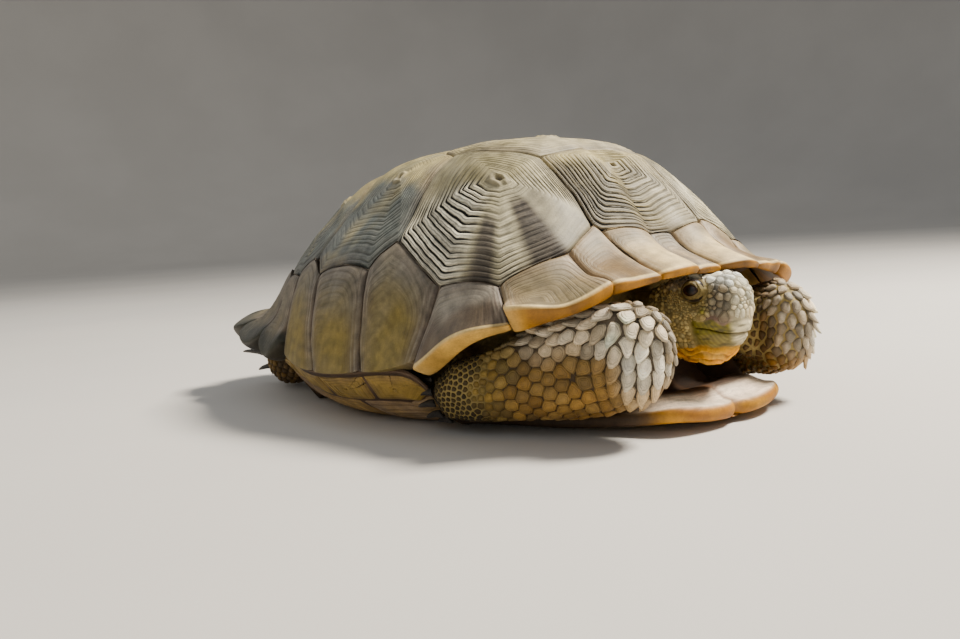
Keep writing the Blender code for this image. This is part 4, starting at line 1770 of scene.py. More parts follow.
@dataclass
class Shell:
    """The upper and lower shell: plates, rim, beds and their horn.

    Attributes:
        horn: Finish of the plates.
        rim_horn: Finish of the rim.
        underside: Finish of the lower shell.
        bed: Finish of the bone in the seams.
        right_rays: Sectors of the first plate of the right flank.
        front_rays: Sectors of the first plate on the middle line.
    """

    horn: PlateFinish = PlateFinish("shell_horn")
    rim_horn: PlateFinish = PlateFinish("rim_horn", groove=0.32, dust=0.08, relief=0.00026)
    underside: PlateFinish = PlateFinish("lower_horn", groove=0.40, dust=0.0, relief=0.00024)
    bed: PlateFinish = PlateFinish("seam_bed", dust=0.0, roughness=0.8)
    right_rays: tuple[Ray, ...] = (
        Ray((-42.5, 0.885), 0.18, 0.34, 0.96, -0.10), Ray((-29.6, 0.868), 0.25, 0.22, 0.98, -0.35),
        Ray((-21.5, 0.835), 0.30, 0.20, 0.48, 0.70), Ray((-52.0, 0.76), 0.50, 0.12, -0.85, -0.90),
        Ray((-37.0, 0.880), 0.14, 0.40, -0.12, -0.40),
    )
    front_rays: tuple[Ray, ...] = (
        Ray((-7.0, 0.83), 0.60, 0.10, 0.20, -0.30), Ray((-21.0, 0.70), 0.42, 0.20, 0.45, -0.85),
        Ray((9.0, 0.83), 0.50, 0.20, -0.15, 0.45),
    )

    def build(self) -> None:
        """Build every piece of the shell."""
        horn, rim_horn = self.horn.make(), self.rim_horn.make()
        for scute in self._top_scutes():
            piece = new_piece(f"plate_{scute.name}", scute.mesh(), horn)
            keep(piece, "shell_plates", scute.name)
        for half in Half:
            for first, last, run in ((0, 4, "front"), (4, 7, "bridge"), (7, 11, "rear")):
                meshes = [self._rim_plate(number, half).mesh() for number in range(first, last)]
                mesh = joined(f"rim_{half.word}_{run}", meshes)
                keep(new_piece(mesh.name, mesh, rim_horn), "shell_rim", f"marginals_{half.word}_{run}")
        for plate, node in ((self._middle_plate(True), "nuchal"), (self._middle_plate(False), "supracaudal")):
            keep(new_piece(f"rim_{node}", plate.mesh(), rim_horn), "shell_rim", node)
        bed = ShellBed()
        keep(new_piece("shell_bed", bed.mesh(), self.bed.make()), "shell_rim")
        underside = self.underside.make()
        meshes = [scute.mesh() for scute in self._lower_scutes()]
        keep(new_piece("lower_shell_plates", joined("lower_shell_plates", meshes), underside), "plastron")
        edge = LowerBed().mesh()
        keep(new_piece("lower_shell_edge", edge, underside), "plastron", "plastron")

    def _top_scutes(self) -> list[Scute]:
        """The plates of the dome.

        Returns:
            The plates, front to rear, first those on the middle line.
        """
        tops = MARGINAL_TOPS
        middle = (
            ("vertebral_1", [V1_V2, V1_FRONT, tops[1], tops[0]], (0.0, 0.62), 17),
            ("vertebral_2", [V2_V3, V2_SIDE, V1_V2], (0.0, 0.28), 15),
            ("vertebral_3", [V3_V4, V3_SIDE, V2_V3], (180.0, 0.20), 15),
            ("vertebral_4", [V4_V5, V4_SIDE, V3_V4], (180.0, 0.52), 14),
            ("vertebral_5", [tops[11], V5_SIDE, V4_V5], (180.0, 0.79), 13),
        )
        made = []
        for index, (name, half, heart, rings) in enumerate(middle):
            corners = half + Half.RIGHT.of(half)[::-1]
            growth = Growth(rings=rings, worn_up=0.35, crown=0.0012, strength=1.20 if index == 0 else 0.60)
            rays = self.front_rays if index == 0 else ()
            paint = Paint(lower=(0.25, 0.22, 0.15) if index == 0 else HORN_RIDGE)
            made.append(Scute(name, UPPER, corners, heart, 11 + 10 * index, growth, paint, rays))
        sides = (
            ([V1_V2, V1_FRONT, tops[2], tops[3], tops[4], C1_C2_FOOT, V2_SIDE], (36.5, 0.64), 16),
            ([V2_SIDE, C1_C2_FOOT, tops[5], tops[6], C2_C3_FOOT, V3_SIDE, V2_V3], (81.0, 0.54), 16),
            ([V3_SIDE, C2_C3_FOOT, tops[7], tops[8], C3_C4_FOOT, V4_SIDE, V3_V4], (127.0, 0.60), 15),
            ([V4_SIDE, C3_C4_FOOT, tops[9], tops[10], V5_SIDE, V4_V5], (152.0, 0.72), 12),
        )
        for number, (corners, heart, rings) in enumerate(sides, start=1):
            for half in Half:
                seed = 100 * number + 10 * (half is Half.LEFT)
                # The lower side of these plates is painted blue-grey shade.
                paint = Paint(lower=HORN_SKY_SHADE)
                rays = ()
                if number == 1:
                    # Costal 1 is paler towards the rim: partly pale horn, partly painted light.
                    paint = Paint(lower=(0.47, 0.43, 0.31), upper=(0.27, 0.238, 0.145))
                    rays = self.right_rays if half is Half.RIGHT else ()
                growth = Growth(rings=rings, strength=1.15 if number == 1 else 0.60)
                side, spot = half.of(corners), half.of([heart])[0]
                name = f"costal_{half.word}_{number}"
                made.append(Scute(name, UPPER, side, spot, seed, growth, paint, rays))
        return made

    @staticmethod
    def _rim_plate(number: int, half: Half) -> RimPlate:
        """One plate of the rim.

        Args:
            number: Its number from the front, from 0.
            half: Its side of the body.

        Returns:
            The plate, with the tones and the lip of its place.
        """
        tops = [MARGINAL_TOPS[number], MARGINAL_TOPS[number + 1]]
        if number in MARGINAL_PEAKS:
            tops.insert(1, MARGINAL_PEAKS[number])
        feet = MARGINAL_FEET[number: number + 2]
        look = RIM_LOOKS[number] if number < 4 else RIM_BRIDGE if number < 7 else RIM_REAR
        return RimPlate(
            f"rim_plate_{number}", half.of(tops), (feet[0] * half.value, feet[1] * half.value),
            500 + 20 * number + (half is Half.LEFT),
            **{"lobe": 0.0006, "wear": 0.6, "strength": 0.4, "sunny": RIM_SUNNY, **look},
        )

    @staticmethod
    def _middle_plate(front: bool) -> RimPlate:
        """The rim plate on the middle line.

        Args:
            front: Whether it is the one in front.

        Returns:
            The plate.
        """
        if front:
            return RimPlate(
                "rim_nuchal", [(-3.5, 0.845), (3.5, 0.845)], (-3.0, 3.0), 901, heart=(0.5, 0.8),
                rings=7, columns=36, sunny=(0.20, 0.17, 0.115), middle=(0.40, 0.31, 0.20),
            )
        return RimPlate(
            "rim_supracaudal", [(171.0, 0.87), (189.0, 0.87)], (170.0, 190.0), 911, heart=(0.5, 0.85),
            middle=(0.25, 0.215, 0.16), lobe=0.0016,
        )

    def _lower_scutes(self) -> list[Scute]:
        """The plates of the lower shell.

        Returns:
            The plates of both halves.
        """
        rim, fold = partial(at_level, 0.984), partial(at_level, 0.895)
        line = [LOWER.chart_of(forward, 0.0) for forward in (0.385, 0.200, 0.130, -0.170, -0.310)]
        halves = (
            ("gular", [*rim(0.0, 7, 12.5, 16), line[0]], 9),
            ("humeral", [line[0], *rim(16, 25, 36, 46, 50), line[1]], 12),
            ("pectoral", [line[1], *rim(50, 54), *fold(58, 64, 71, 78), line[2]], 7),
            ("abdominal", [line[2], *fold(78, 88, 98, 108, 114), *rim(117, 121), line[3]], 14),
            ("femoral", [line[3], *rim(121, 130, 140, 149, 156), line[4]], 11),
            ("anal", [line[4], *rim(156, 166, 174, 180)], 8),
            ("fold_5", [*rim(54, 60, 66, 71), *fold(71, 64, 58)], 4),
            ("fold_6", [*rim(71, 79, 88), *fold(88, 71)], 5),
            ("fold_7", [*rim(88, 98, 108), *fold(108, 98, 88)], 5),
            ("fold_8", [*rim(108, 117), *fold(114, 108)], 4),
        )
        made = []
        tan, rose, brown = (0.42, 0.29, 0.14), (0.34, 0.25, 0.17), (0.14, 0.09, 0.055)
        fold_tone = (0.27, 0.19, 0.075)
        for half in Half:
            for index, (name, corners, rings) in enumerate(halves):
                middle = disc(*np.array(corners, float).T).mean(axis=0)
                heart = (math.degrees(math.atan2(middle[1], middle[0])), float(np.hypot(*middle)))
                lower, upper = (fold_tone, fold_tone) if name.startswith("fold") else (rose, tan)
                growth = Growth(rings=rings, relief=0.00025, crown=0.0, knob=0.0, worn_up=0.2)
                made.append(Scute(
                    f"lower_{name}_{half.word}", LOWER, half.of(corners), half.of([heart])[0],
                    700 + 10 * index + (half is Half.LEFT), growth,
                    Paint(lower=lower, upper=upper, border=brown, spot=lower, border_width=0.0035),
                    rows=40, columns=104, depth=0.0018, fall=0.0009,
                ))
        return made


# ---------------------------------------------------------------- skin
LEGS = tuple(f"{pair}leg_{side}_{part}" for pair in ("fore", "hind") for side in ("left", "right")
             for part in ("upper", "lower"))
FLESH = ("trunk", "neck", "head", "tail", *LEGS)
EYE_PLACE = (0.463, 0.0463, 0.1922)
EYE_RADIUS = 0.0043
LID_REACH = 0.012
NOSTRIL = (0.509, 0.0105, 0.1905)

SCALE_BONE: Colour = (0.80, 0.72, 0.58)
# Tan of the leg scales, painted dark to stand in for the shade on the legs.
SCALE_TAN_SHADED: Colour = (0.165, 0.105, 0.042)
SCALE_BROWN: Colour = (0.12, 0.080, 0.042)
SCALE_MOSS: Colour = (0.24, 0.185, 0.075)
SKIN_DARK: Colour = (0.036, 0.024, 0.014)
SKIN_YELLOW: Colour = (0.46, 0.36, 0.17)
SKIN_ORANGE: Colour = (0.66, 0.33, 0.07)
# Ashy white of the crown and brow, also a painted highlight on the front of the snout.
HEAD_ASH_AND_HIGHLIGHT: Colour = (0.82, 0.79, 0.69)
HEAD_UMBER: Colour = (0.42, 0.335, 0.170)
BEAK_OLIVE: Colour = (0.150, 0.128, 0.028)
LIP_PLUM: Colour = (0.19, 0.130, 0.100)
LID_OLIVE: Colour = (0.105, 0.075, 0.026)
HEAD_GREY: Colour = (0.20, 0.172, 0.125)
CHEEK_STRIPE: Colour = (0.46, 0.37, 0.20)
LIP_SPOT: Colour = (0.42, 0.37, 0.10)
JAW_OLIVE: Colour = (0.175, 0.145, 0.060)
# Painted highlight on the front of the beak.
SNOUT_FRONT_HIGHLIGHT: Colour = (0.80, 0.72, 0.52)
WRIST_BLACK: Colour = (0.050, 0.036, 0.016)
FOOT_TAN: Colour = (0.34, 0.21, 0.085)
INNER_BROWN: Colour = (0.105, 0.065, 0.028)
MOUTH_BLACK: Colour = (0.03, 0.02, 0.015)
NOSTRIL_BLACK: Colour = (0.02, 0.015, 0.01)
THROAT_TAN: Colour = (0.62, 0.44, 0.20)
# Painted highlight on the crests of the lids' folds.
LID_FOLD_HIGHLIGHT: Colour = (0.112, 0.085, 0.036)
LID_EDGE: Colour = (0.10, 0.07, 0.03)


FORELEG_LINE, HINDLEG_LINE = (0.348, -0.34), (0.07, -0.37)


def beside(body: Array, line: Place) -> Array:
    """How far outside a leg's middle line each place lies, in UNITs."""
    return np.abs(body[:, 1]) - (line[0] + line[1] * body[:, 0])


class Markings:
    """Colours of the flesh by place, shared by the skin and its scales."""

    @staticmethod
    def head(body: Array) -> Array:
        """Tones of the head: ashy above, partly painted light, umber at the side, olive beak, orange throat,
        painted highlights on the front.

        Args:
            body: Rows of (forward, left, up).

        Returns:
            An RGB row for each.
        """
        forward, left, up = body.T
        cloud = clouds(to_row(body), 21, 0.009, 0.004, 0.3)
        height = up + 0.006 * cloud
        tip = forward + 0.5 * (0.03 - np.abs(left))
        mouth = step(0.455, 0.467, forward)
        cheek = step(0.164, 0.156, height) * step(0.140, 0.150, height)
        stripe = hump(0.158, 0.006, height) * step(0.445, 0.456, forward) * step(0.484, 0.474, forward)
        tint = blend(
            HEAD_UMBER,
            (HEAD_GREY, step(0.474, 0.494, forward)),
            # Ashy top: partly the crown's pale plates, partly painted light.
            (HEAD_ASH_AND_HIGHLIGHT, step(0.190, 0.205, height)),
            # Painted highlight down the front of the snout.
            (HEAD_ASH_AND_HIGHLIGHT, step(0.508, 0.522, tip) * step(0.150, 0.175, height) * 0.75),
            (LIP_PLUM, cheek * step(0.470, 0.490, forward)),
            (CHEEK_STRIPE, stripe * 0.8),
            (LIP_SPOT, hump(0.478, 0.005, forward) * hump(0.163, 0.005, up) * 0.8),
            (BEAK_OLIVE, step(0.151, 0.145, height) * mouth),
            (JAW_OLIVE, step(0.131, 0.127, up) * mouth * 0.8),
            # Painted highlight on the front of the beak.
            (SNOUT_FRONT_HIGHLIGHT, step(0.506, 0.520, tip) * step(0.105, 0.125, up) * 0.80),
            (SKIN_ORANGE, step(0.112, 0.104, up + 0.003 * cloud)),
            (SKIN_YELLOW, step(0.420, 0.400, forward) * 0.6),
        )
        return tint * (1 + 0.16 * cloud)[:, None]

    @staticmethod
    def foreleg(body: Array) -> Array:
        """Tones of a foreleg: bone-pale at the elbow, tan, then mossy at the wrist.

        Args:
            body: Rows of (forward, left, up).

        Returns:
            An RGB row for each.
        """
        forward, _, up = body.T
        cloud = clouds(to_row(body), 31, 0.014, 0.006)
        outer = step(-0.028, 0.016, beside(body, FORELEG_LINE) + 0.01 * cloud)
        pale = step(0.450, 0.482, forward + 0.28 * (up - 0.13) + 0.010 * cloud)
        top = step(0.100, 0.150, up - 0.10 * (forward - 0.35) + 0.01 * cloud) * step(0.26, 0.36, forward)
        low = step(0.080, 0.050, up - 0.12 * (forward - 0.35))
        tint = blend(
            # The tan base is painted dark, as shade on the leg.
            SCALE_TAN_SHADED,
            (SCALE_BONE, np.maximum(pale, 0.65 * top)),
            (SCALE_MOSS, step(0.345, 0.300, forward + 0.02 * cloud) * 0.6),
            (WRIST_BLACK, step(0.300, 0.270, forward + 0.02 * cloud)),
            (FOOT_TAN, low * 0.6 * step(0.27, 0.34, forward)),
        )
        inner = INNER_BROWN, (np.array(SKIN_ORANGE) * 0.45, step(0.09, 0.05, up) * 0.5)
        return blend(*inner, (tint, np.maximum(outer, pale * 0.35))) * (1 + 0.16 * cloud)[:, None]

    @staticmethod
    def rear(body: Array) -> Array:
        """Tones of the hind legs, the tail and the soft parts.

        Args:
            body: Rows of (forward, left, up).

        Returns:
            An RGB row for each.
        """
        cloud = clouds(to_row(body), 41, 0.016, 0.006)
        tint = blend(
            SCALE_BROWN,
            # The tan is painted dark, as shade on the legs.
            (SCALE_TAN_SHADED, step(-0.6, 0.8, cloud)),
            (SKIN_YELLOW, step(-0.36, -0.30, body[:, 0]) * 0.55),
        )
        return tint * (1 + 0.12 * cloud)[:, None]


def mouth_height(forward: Array) -> Array:
    """Height of the mouth's line at a place along the head, in UNITs."""
    return 0.1365 - 0.0075 * step(0.476, 0.508, forward) + 0.0015 * step(0.480, 0.462, forward)


@dataclass
class Skin:
    """One skin over all the flesh, with the head's forms worked into it.

    Attributes:
        voxel: Size of the cells in which the flesh is joined.
        grown: How far the solids are grown before they are joined.
        depth: How far the skin lies inside the flesh under its scales.
        head_depth: The same on the head.
        smoothing: How often the joined flesh is smoothed.
        finish: Its material.
        piece: The finished skin.
        tree: Its surface, for the scales and the lids.
        solids: The surfaces of the solids that it was joined from.
    """

    voxel: float = 0.0018
    grown: float = 0.00045
    depth: float = 0.0009
    head_depth: float = 0.0005
    smoothing: int = 7
    finish: SkinFinish = SkinFinish("bare_skin")
    piece: Object = field(init=False, default=None)
    tree: BVHTree = field(init=False, default=None)
    solids: dict[str, BVHTree] = field(init=False, default_factory=dict)

    def build(self) -> None:
        """Join the flesh, refine and shape the head, and colour it."""
        shape = bmesh.new()
        for name in FLESH:
            part = self._merged(name)
            self.solids[name] = BVHTree.FromBMesh(part)
            for point in part.verts:
                point.co += point.normal * self.grown
            mesh = cast(part, f"{name}_copy")
            shape.from_mesh(mesh)
            bpy.data.meshes.remove(mesh)
        holder = bpy.data.objects.new("flesh_joined", cast(shape, "flesh_joined"))
        bpy.context.scene.collection.objects.link(holder)
        joining = holder.modifiers.new("join", "REMESH")
        joining.mode, joining.voxel_size = "VOXEL", self.voxel
        mesh = evaluated(holder)
        bpy.data.objects.remove(holder)
        shape = bmesh.new()
        shape.from_mesh(mesh)
        every_way = {f"use_axis_{axis}": True for axis in "xyz"}
        for _ in range(self.smoothing):
            bmesh.ops.smooth_vert(shape, verts=shape.verts, factor=0.5, **every_way)
        for behind, low, high in ((0.400, 0.0, 1.0), (0.408, 0.0, 1.0), (0.452, 0.117, 0.145)):
            self._refine(shape, behind, low, high)
        shape.to_mesh(mesh)
        shape.free()
        self._sculpt(mesh)
        self.piece = new_piece("skin", mesh, self.finish.make())
        keep(self.piece, "skin", *FLESH)
        shape = bmesh.new()
        shape.from_mesh(mesh)
        self.tree = BVHTree.FromBMesh(shape)
        shape.free()

    @staticmethod
    def _merged(name: str) -> bmesh.types.BMesh:
        """Copy a solid with its points merged.

        Args:
            name: The solid.

        Returns:
            The copy.
        """
        part = bmesh.new()
        part.from_mesh(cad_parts[name].data)
        bmesh.ops.remove_doubles(part, verts=part.verts, dist=MERGE)
        part.normal_update()
        return part

    @staticmethod
    def _refine(shape: bmesh.types.BMesh, behind: float, low: float, high: float) -> None:
        """Halve the faces of a part of the head.

        Args:
            shape: The skin.
            behind: Place along the body at which it begins.
            low: Lowest height.
            high: Greatest height.
        """
        def inside(point: bmesh.types.BMVert) -> bool:
            """Whether a point lies in that part."""
            forward, left, up = BOX_MIDDLE - point.co.y / UNIT, point.co.x / UNIT, point.co.z / UNIT
            return forward > behind and abs(left) < 0.075 and low < up < high

        edges = [edge for edge in shape.edges if inside(edge.verts[0]) and inside(edge.verts[1])]
        bmesh.ops.subdivide_edges(shape, edges=edges, cuts=1, use_grid_fill=True)

    def region_of(self, spots: Array, names: tuple[str, ...]) -> Array:
        """Which solid each place lies nearest to.

        Args:
            spots: Places in metres.
            names: The solids to choose among.

        Returns:
            The index of the nearest for each place.
        """
        reach = np.array([
            [self.solids[name].find_nearest(Vector(spot))[3] for name in names] for spot in spots
        ])
        return reach.argmin(axis=1)

    def _sculpt(self, mesh: Mesh) -> None:
        """Sink the skin under its scales and work the head's forms, then mark the colours.

        Args:
            mesh: The skin.
        """
        spots, normal = coordinates(mesh), point_normals(mesh)
        body = to_body(spots)
        forward, left, up = body.T
        aside = np.abs(left)
        head = step(0.395, 0.420, forward) * step(0.082, 0.070, aside)
        fore = step(0.17, 0.20, forward) * step(0.085, 0.105, aside)
        inset = self.grown + 0.0002 + (self.depth - 0.0002) * fore + (self.head_depth - 0.0002) * head
        line = mouth_height(forward)
        off = (up - line) * UNIT
        mouth = head * step(0.462, 0.470, forward)
        lift = -0.0010 * hump(0, 0.00036, off) * mouth
        lift += 0.00045 * step(0.0, 0.0006, off) * step(0.0052, 0.0028, off) * mouth
        lift += 0.00040 * step(-0.0006, -0.0016, off) * step(-0.0060, -0.0042, off) * mouth
        brow = hump(0.463, 0.020, forward) * hump(0.2075, 0.0075, up) * step(0.020, 0.034, aside)
        lift += 0.0012 * brow * head
        nostril = np.sqrt(((forward - NOSTRIL[0]) / 0.0045) ** 2 + ((aside - NOSTRIL[1]) / 0.0050) ** 2
                          + ((up - NOSTRIL[2]) / 0.0060) ** 2)
        lift += (-0.0022 * np.exp(-(nostril**2)) + 0.0006 * hump(1.5, 0.5, nostril)) * head
        eye = np.sqrt(((forward - EYE_PLACE[0]) / 0.020) ** 2 + ((up - EYE_PLACE[2]) / 0.018) ** 2)
        lift -= 0.0007 * hump(1.1, 0.35, eye) * step(0.03, 0.04, aside) * head
        low = step(0.112, 0.102, up)
        lift += 0.0020 * step(0.115, 0.095, up) * hump(0.462, 0.030, forward) * head
        folds = np.sin(up * UNIT / 0.0011 * 2 * math.pi * 0.5 + 3.2 * Wander(0.009, 61).at(spots))
        lift += 0.00052 * folds * low * head
        neck = step(0.425, 0.400, forward) * step(0.30, 0.34, forward) * step(0.085, 0.07, aside)
        lift += 0.0005 * np.sin(forward * UNIT / 0.0030 * 2 * math.pi + Wander(0.02, 62).at(spots)) * neck
        lift += 0.00028 * Wander(0.0045, 63).at(spots) * head * (1 - mouth * step(0.012, 0.008, np.abs(off)))
        lift += 0.0004 * Wander(0.010, 64).at(spots) * (1 - head)
        spots = spots + normal * (lift - inset)[:, None]
        spots[:, 2] = np.maximum(spots[:, 2], ABOVE_FLOOR)
        move_points(mesh, spots)
        horn = mouth * step(0.152, 0.146, up) * step(0.106, 0.112, up)
        streaks = 0.5 + 0.5 * np.sin((forward * 2.2 + aside) * 620 + 2.5 * Wander(0.006, 65).at(spots))
        tint = blend(Markings.rear(body), (Markings.foreleg(body), fore))
        between = np.array(SKIN_DARK) * (1 + 0.2 * Wander(0.01, 66).at(spots))[:, None]
        wrist = step(0.330, 0.27, forward) * fore * step(0.20, 0.235, forward)
        wrist = np.maximum(wrist, step(0.0, -0.03, beside(body, FORELEG_LINE)) * fore)
        between = blend(between, (SKIN_YELLOW, wrist * 0.62))
        scaled = fore * step(0.20, 0.22, forward)
        tint = blend(tint * 0.8, (between, np.clip(scaled + step(-0.30, -0.33, forward) * 0.6, 0, 0.9)))
        face = Markings.head(body)
        bare = np.maximum(horn, step(0.112, 0.104, up))
        # Painted shade: where scales grow, the skin seen between them is a darker copy of the head's colours,
        # darkest on the upper front of the snout.
        gaps = 0.62 - 0.30 * step(0.465, 0.485, forward) * step(0.150, 0.165, up)
        face = face * (gaps + (1 - gaps) * bare)[:, None]
        stain = step(0.1, 1.1, Wander(0.0042, 67).at(spots * (0.6, 0.6, 2.2)))
        face = face * (1 + (0.42 * (streaks - 0.5) * horn))[:, None] * (1 - 0.55 * stain * horn)[:, None]
        face = blend(
            face,
            (MOUTH_BLACK, hump(0, 0.0004, off) * mouth * 0.7),
            (NOSTRIL_BLACK, np.exp(-(nostril**2) * 1.4)),
        )
        # Painted shade in the troughs of the throat's folds.
        face = face * (1 - 0.60 * low * step(0.3, -0.9, folds))[:, None]
        wrinkled = low * step(-0.4, 1.2, Wander(0.006, 68).at(spots))
        face = blend(face, (THROAT_TAN, wrinkled * 0.45))
        mark(mesh, {"tint": blend(tint, (face, head)), "horn": horn})


# ---------------------------------------------------------------- eyes and lids
@dataclass
class Eye:
    """An eyeball with its thick folded lids.

    Attributes:
        half: Side of the head.
        half_width: Half the width of the opening in metres.
        half_height: Half its height.
        outer: Reach of the lids from the eye's middle.
        thickness: Thickness of a lid's edge.
        tilt: How far the opening is turned, in radians.
        hidden: How many of its first steps lie behind the opening.
        rows: Steps from behind the opening out and back beneath.
        columns: Steps round it.
    """

    half: Half
    half_width: float = 0.0027
    half_height: float = 0.0021
    outer: float = 0.0059
    thickness: float = 0.00075
    tilt: float = -0.25
    hidden: int = 5
    rows: int = 40
    columns: int = 96

    def __post_init__(self) -> None:
        """Find the eye's middle and the way it looks."""
        forward, left, up = EYE_PLACE
        self.middle = to_row(np.array([(forward, left * self.half.value, up)]))[0]
        look = np.array((self.half.value * 0.93, -0.33, 0.10))
        self.look = look / np.linalg.norm(look)
        ahead = np.cross((0.0, 0.0, 1.0), self.look) * self.half.value
        ahead /= np.linalg.norm(ahead)
        if ahead[1] > 0:
            ahead = -ahead
        rise = np.cross(self.look, ahead)
        self.rise = rise if rise[2] > 0 else -rise
        self.ahead = ahead

    def build(self, skin: Skin, eye_material: Material, lid_material: Material) -> None:
        """Build the eyeball and the lids.

        Args:
            skin: The skin, on which the lids end.
            eye_material: The eye's finish.
            lid_material: The lids' finish.
        """
        shape = bmesh.new()
        bmesh.ops.create_uvsphere(shape, u_segments=56, v_segments=36, radius=EYE_RADIUS)
        turn = Vector((0, 0, 1)).rotation_difference(Vector(self.look)).to_matrix().to_4x4()
        bmesh.ops.transform(shape, matrix=Matrix.Translation(self.middle) @ turn, verts=shape.verts)
        mesh = cast(shape, f"eyeball_{self.half.word}")
        toward = unit_rows(coordinates(mesh) - self.middle) @ self.look
        mark(mesh, {"from_pupil": np.arccos(np.clip(toward, -1, 1))})
        keep(new_piece(mesh.name, mesh, eye_material), "eyes", f"eye_{self.half.word}")
        self._tree = skin.tree
        lids = grown_grid(f"lids_{self.half.word}", self.rows, self.columns, self._lids)
        keep(new_piece(lids.name, lids, lid_material), "head_skin")

    def _ground(self, spot: Array) -> float:
        """Height of the skin over a place, along the way the eye looks."""
        hit = self._tree.ray_cast(Vector(spot + self.look * LID_REACH), Vector(-self.look), 0.03)
        return LID_REACH - hit[3] if hit[0] is not None else 0.0

    def _lids(self, row: Array, share: Array) -> tuple[Array, dict[str, Array]]:
        """Place and mark the lids, from behind their edge out over the folds and back beneath.

        Args:
            row: Row number.
            share: Share of the way round.

        Returns:
            Places in metres, and the marks.
        """
        out = np.clip((row - self.hidden) / (self.rows - self.hidden - 4), 0, 1)
        turn = share * 2 * math.pi
        corner = np.abs(np.cos(turn)) ** 6
        width = self.half_width * (1 + 0.10 * corner)
        height = self.half_height * (1 - 0.10 * corner)
        height = np.where(np.sin(turn) > 0, height * 0.95, height)
        inner = np.column_stack((width * np.cos(turn + self.tilt), height * np.sin(turn + self.tilt)))
        outer = self.outer * np.column_stack((1.06 * np.cos(turn), 0.98 * np.sin(turn)))
        flat = inner + (outer - inner) * (out**1.05)[:, None]
        reach = np.linalg.norm(flat, axis=1)
        ball = np.sqrt(np.maximum(EYE_RADIUS**2 - reach**2, 0.0))
        origin = self.middle + flat[:, :1] * self.ahead + flat[:, 1:] * self.rise
        ground = np.array([self._ground(spot) for spot in origin])
        share_out = step(0.25, 0.95, out)
        bulge = np.maximum(ball, EYE_RADIUS * 0.45 * (1 - out)) + self.thickness
        level = bulge * (1 - share_out) + (ground - 0.0002) * share_out
        stray = Wander(0.0060, 55).at(origin)
        folds = np.sin(out * 2 * math.pi * 2.4 + 0.5 + 1.0 * np.sin(turn) + 2.4 * stray) * 0.00026
        level += folds * step(0.05, 0.2, out) * step(1.0, 0.75, out)
        level += 0.00008 * np.sin(turn * 17 + out * 9) * step(0.1, 0.3, out)
        edge = np.sqrt(np.clip(1 - ((row - self.hidden) / self.hidden) ** 2, 0, 1))
        level = np.where(row < self.hidden, ball - 0.0004 + (bulge - ball + 0.0004) * edge, level)
        level = np.where(row >= self.rows - 3, ground - 0.0002 - 0.0009 * (row - self.rows + 4) / 4, level)
        spots = origin + self.look * level[:, None]
        # Painted light on the lids' folds: paler on their crests, darker in their troughs.
        light = 0.5 + 0.5 * folds / 0.0003 + 0.3 * stray
        tint = blend(
            np.array(LID_OLIVE) * 0.75,
            (LID_FOLD_HIGHLIGHT, light),
            (LID_EDGE, hump(0.0, 0.10, out) * 0.8),
            (np.array(HEAD_UMBER) * 0.50, step(0.55, 1.0, out + 0.25 * stray)),
            (HEAD_ASH_AND_HIGHLIGHT, step(0.0, 0.006, flat[:, 1]) * step(0.6, 1.0, out) * 0.6),
        )
        return spots, {"tint": tint, "horn": np.zeros(len(row))}


# ---------------------------------------------------------------- scales
SETTLING = 40
NEIGHBOURS = 14
SQUARENESS = 12


@dataclass(frozen=True)
class Bead:
    """The shape from which every scale of a coat is made.

    Attributes:
        around: Points round a scale.
        levels: Steps from its top to its bottom.
    """

    around: int = 12
    levels: int = 6

    def template(self) -> tuple[Array, Array]:
        """Shape a unit ball.

        Returns:
            Its points and its triangles.
        """
        shape = bmesh.new()
        bmesh.ops.create_uvsphere(shape, u_segments=self.around, v_segments=self.levels, radius=1.0)
        bmesh.ops.triangulate(shape, faces=shape.faces)
        shape.verts.index_update()
        points = np.array([point.co[:] for point in shape.verts])
        faces = np.array([[corner.index for corner in face.verts] for face in shape.faces])
        shape.free()
        return points, faces


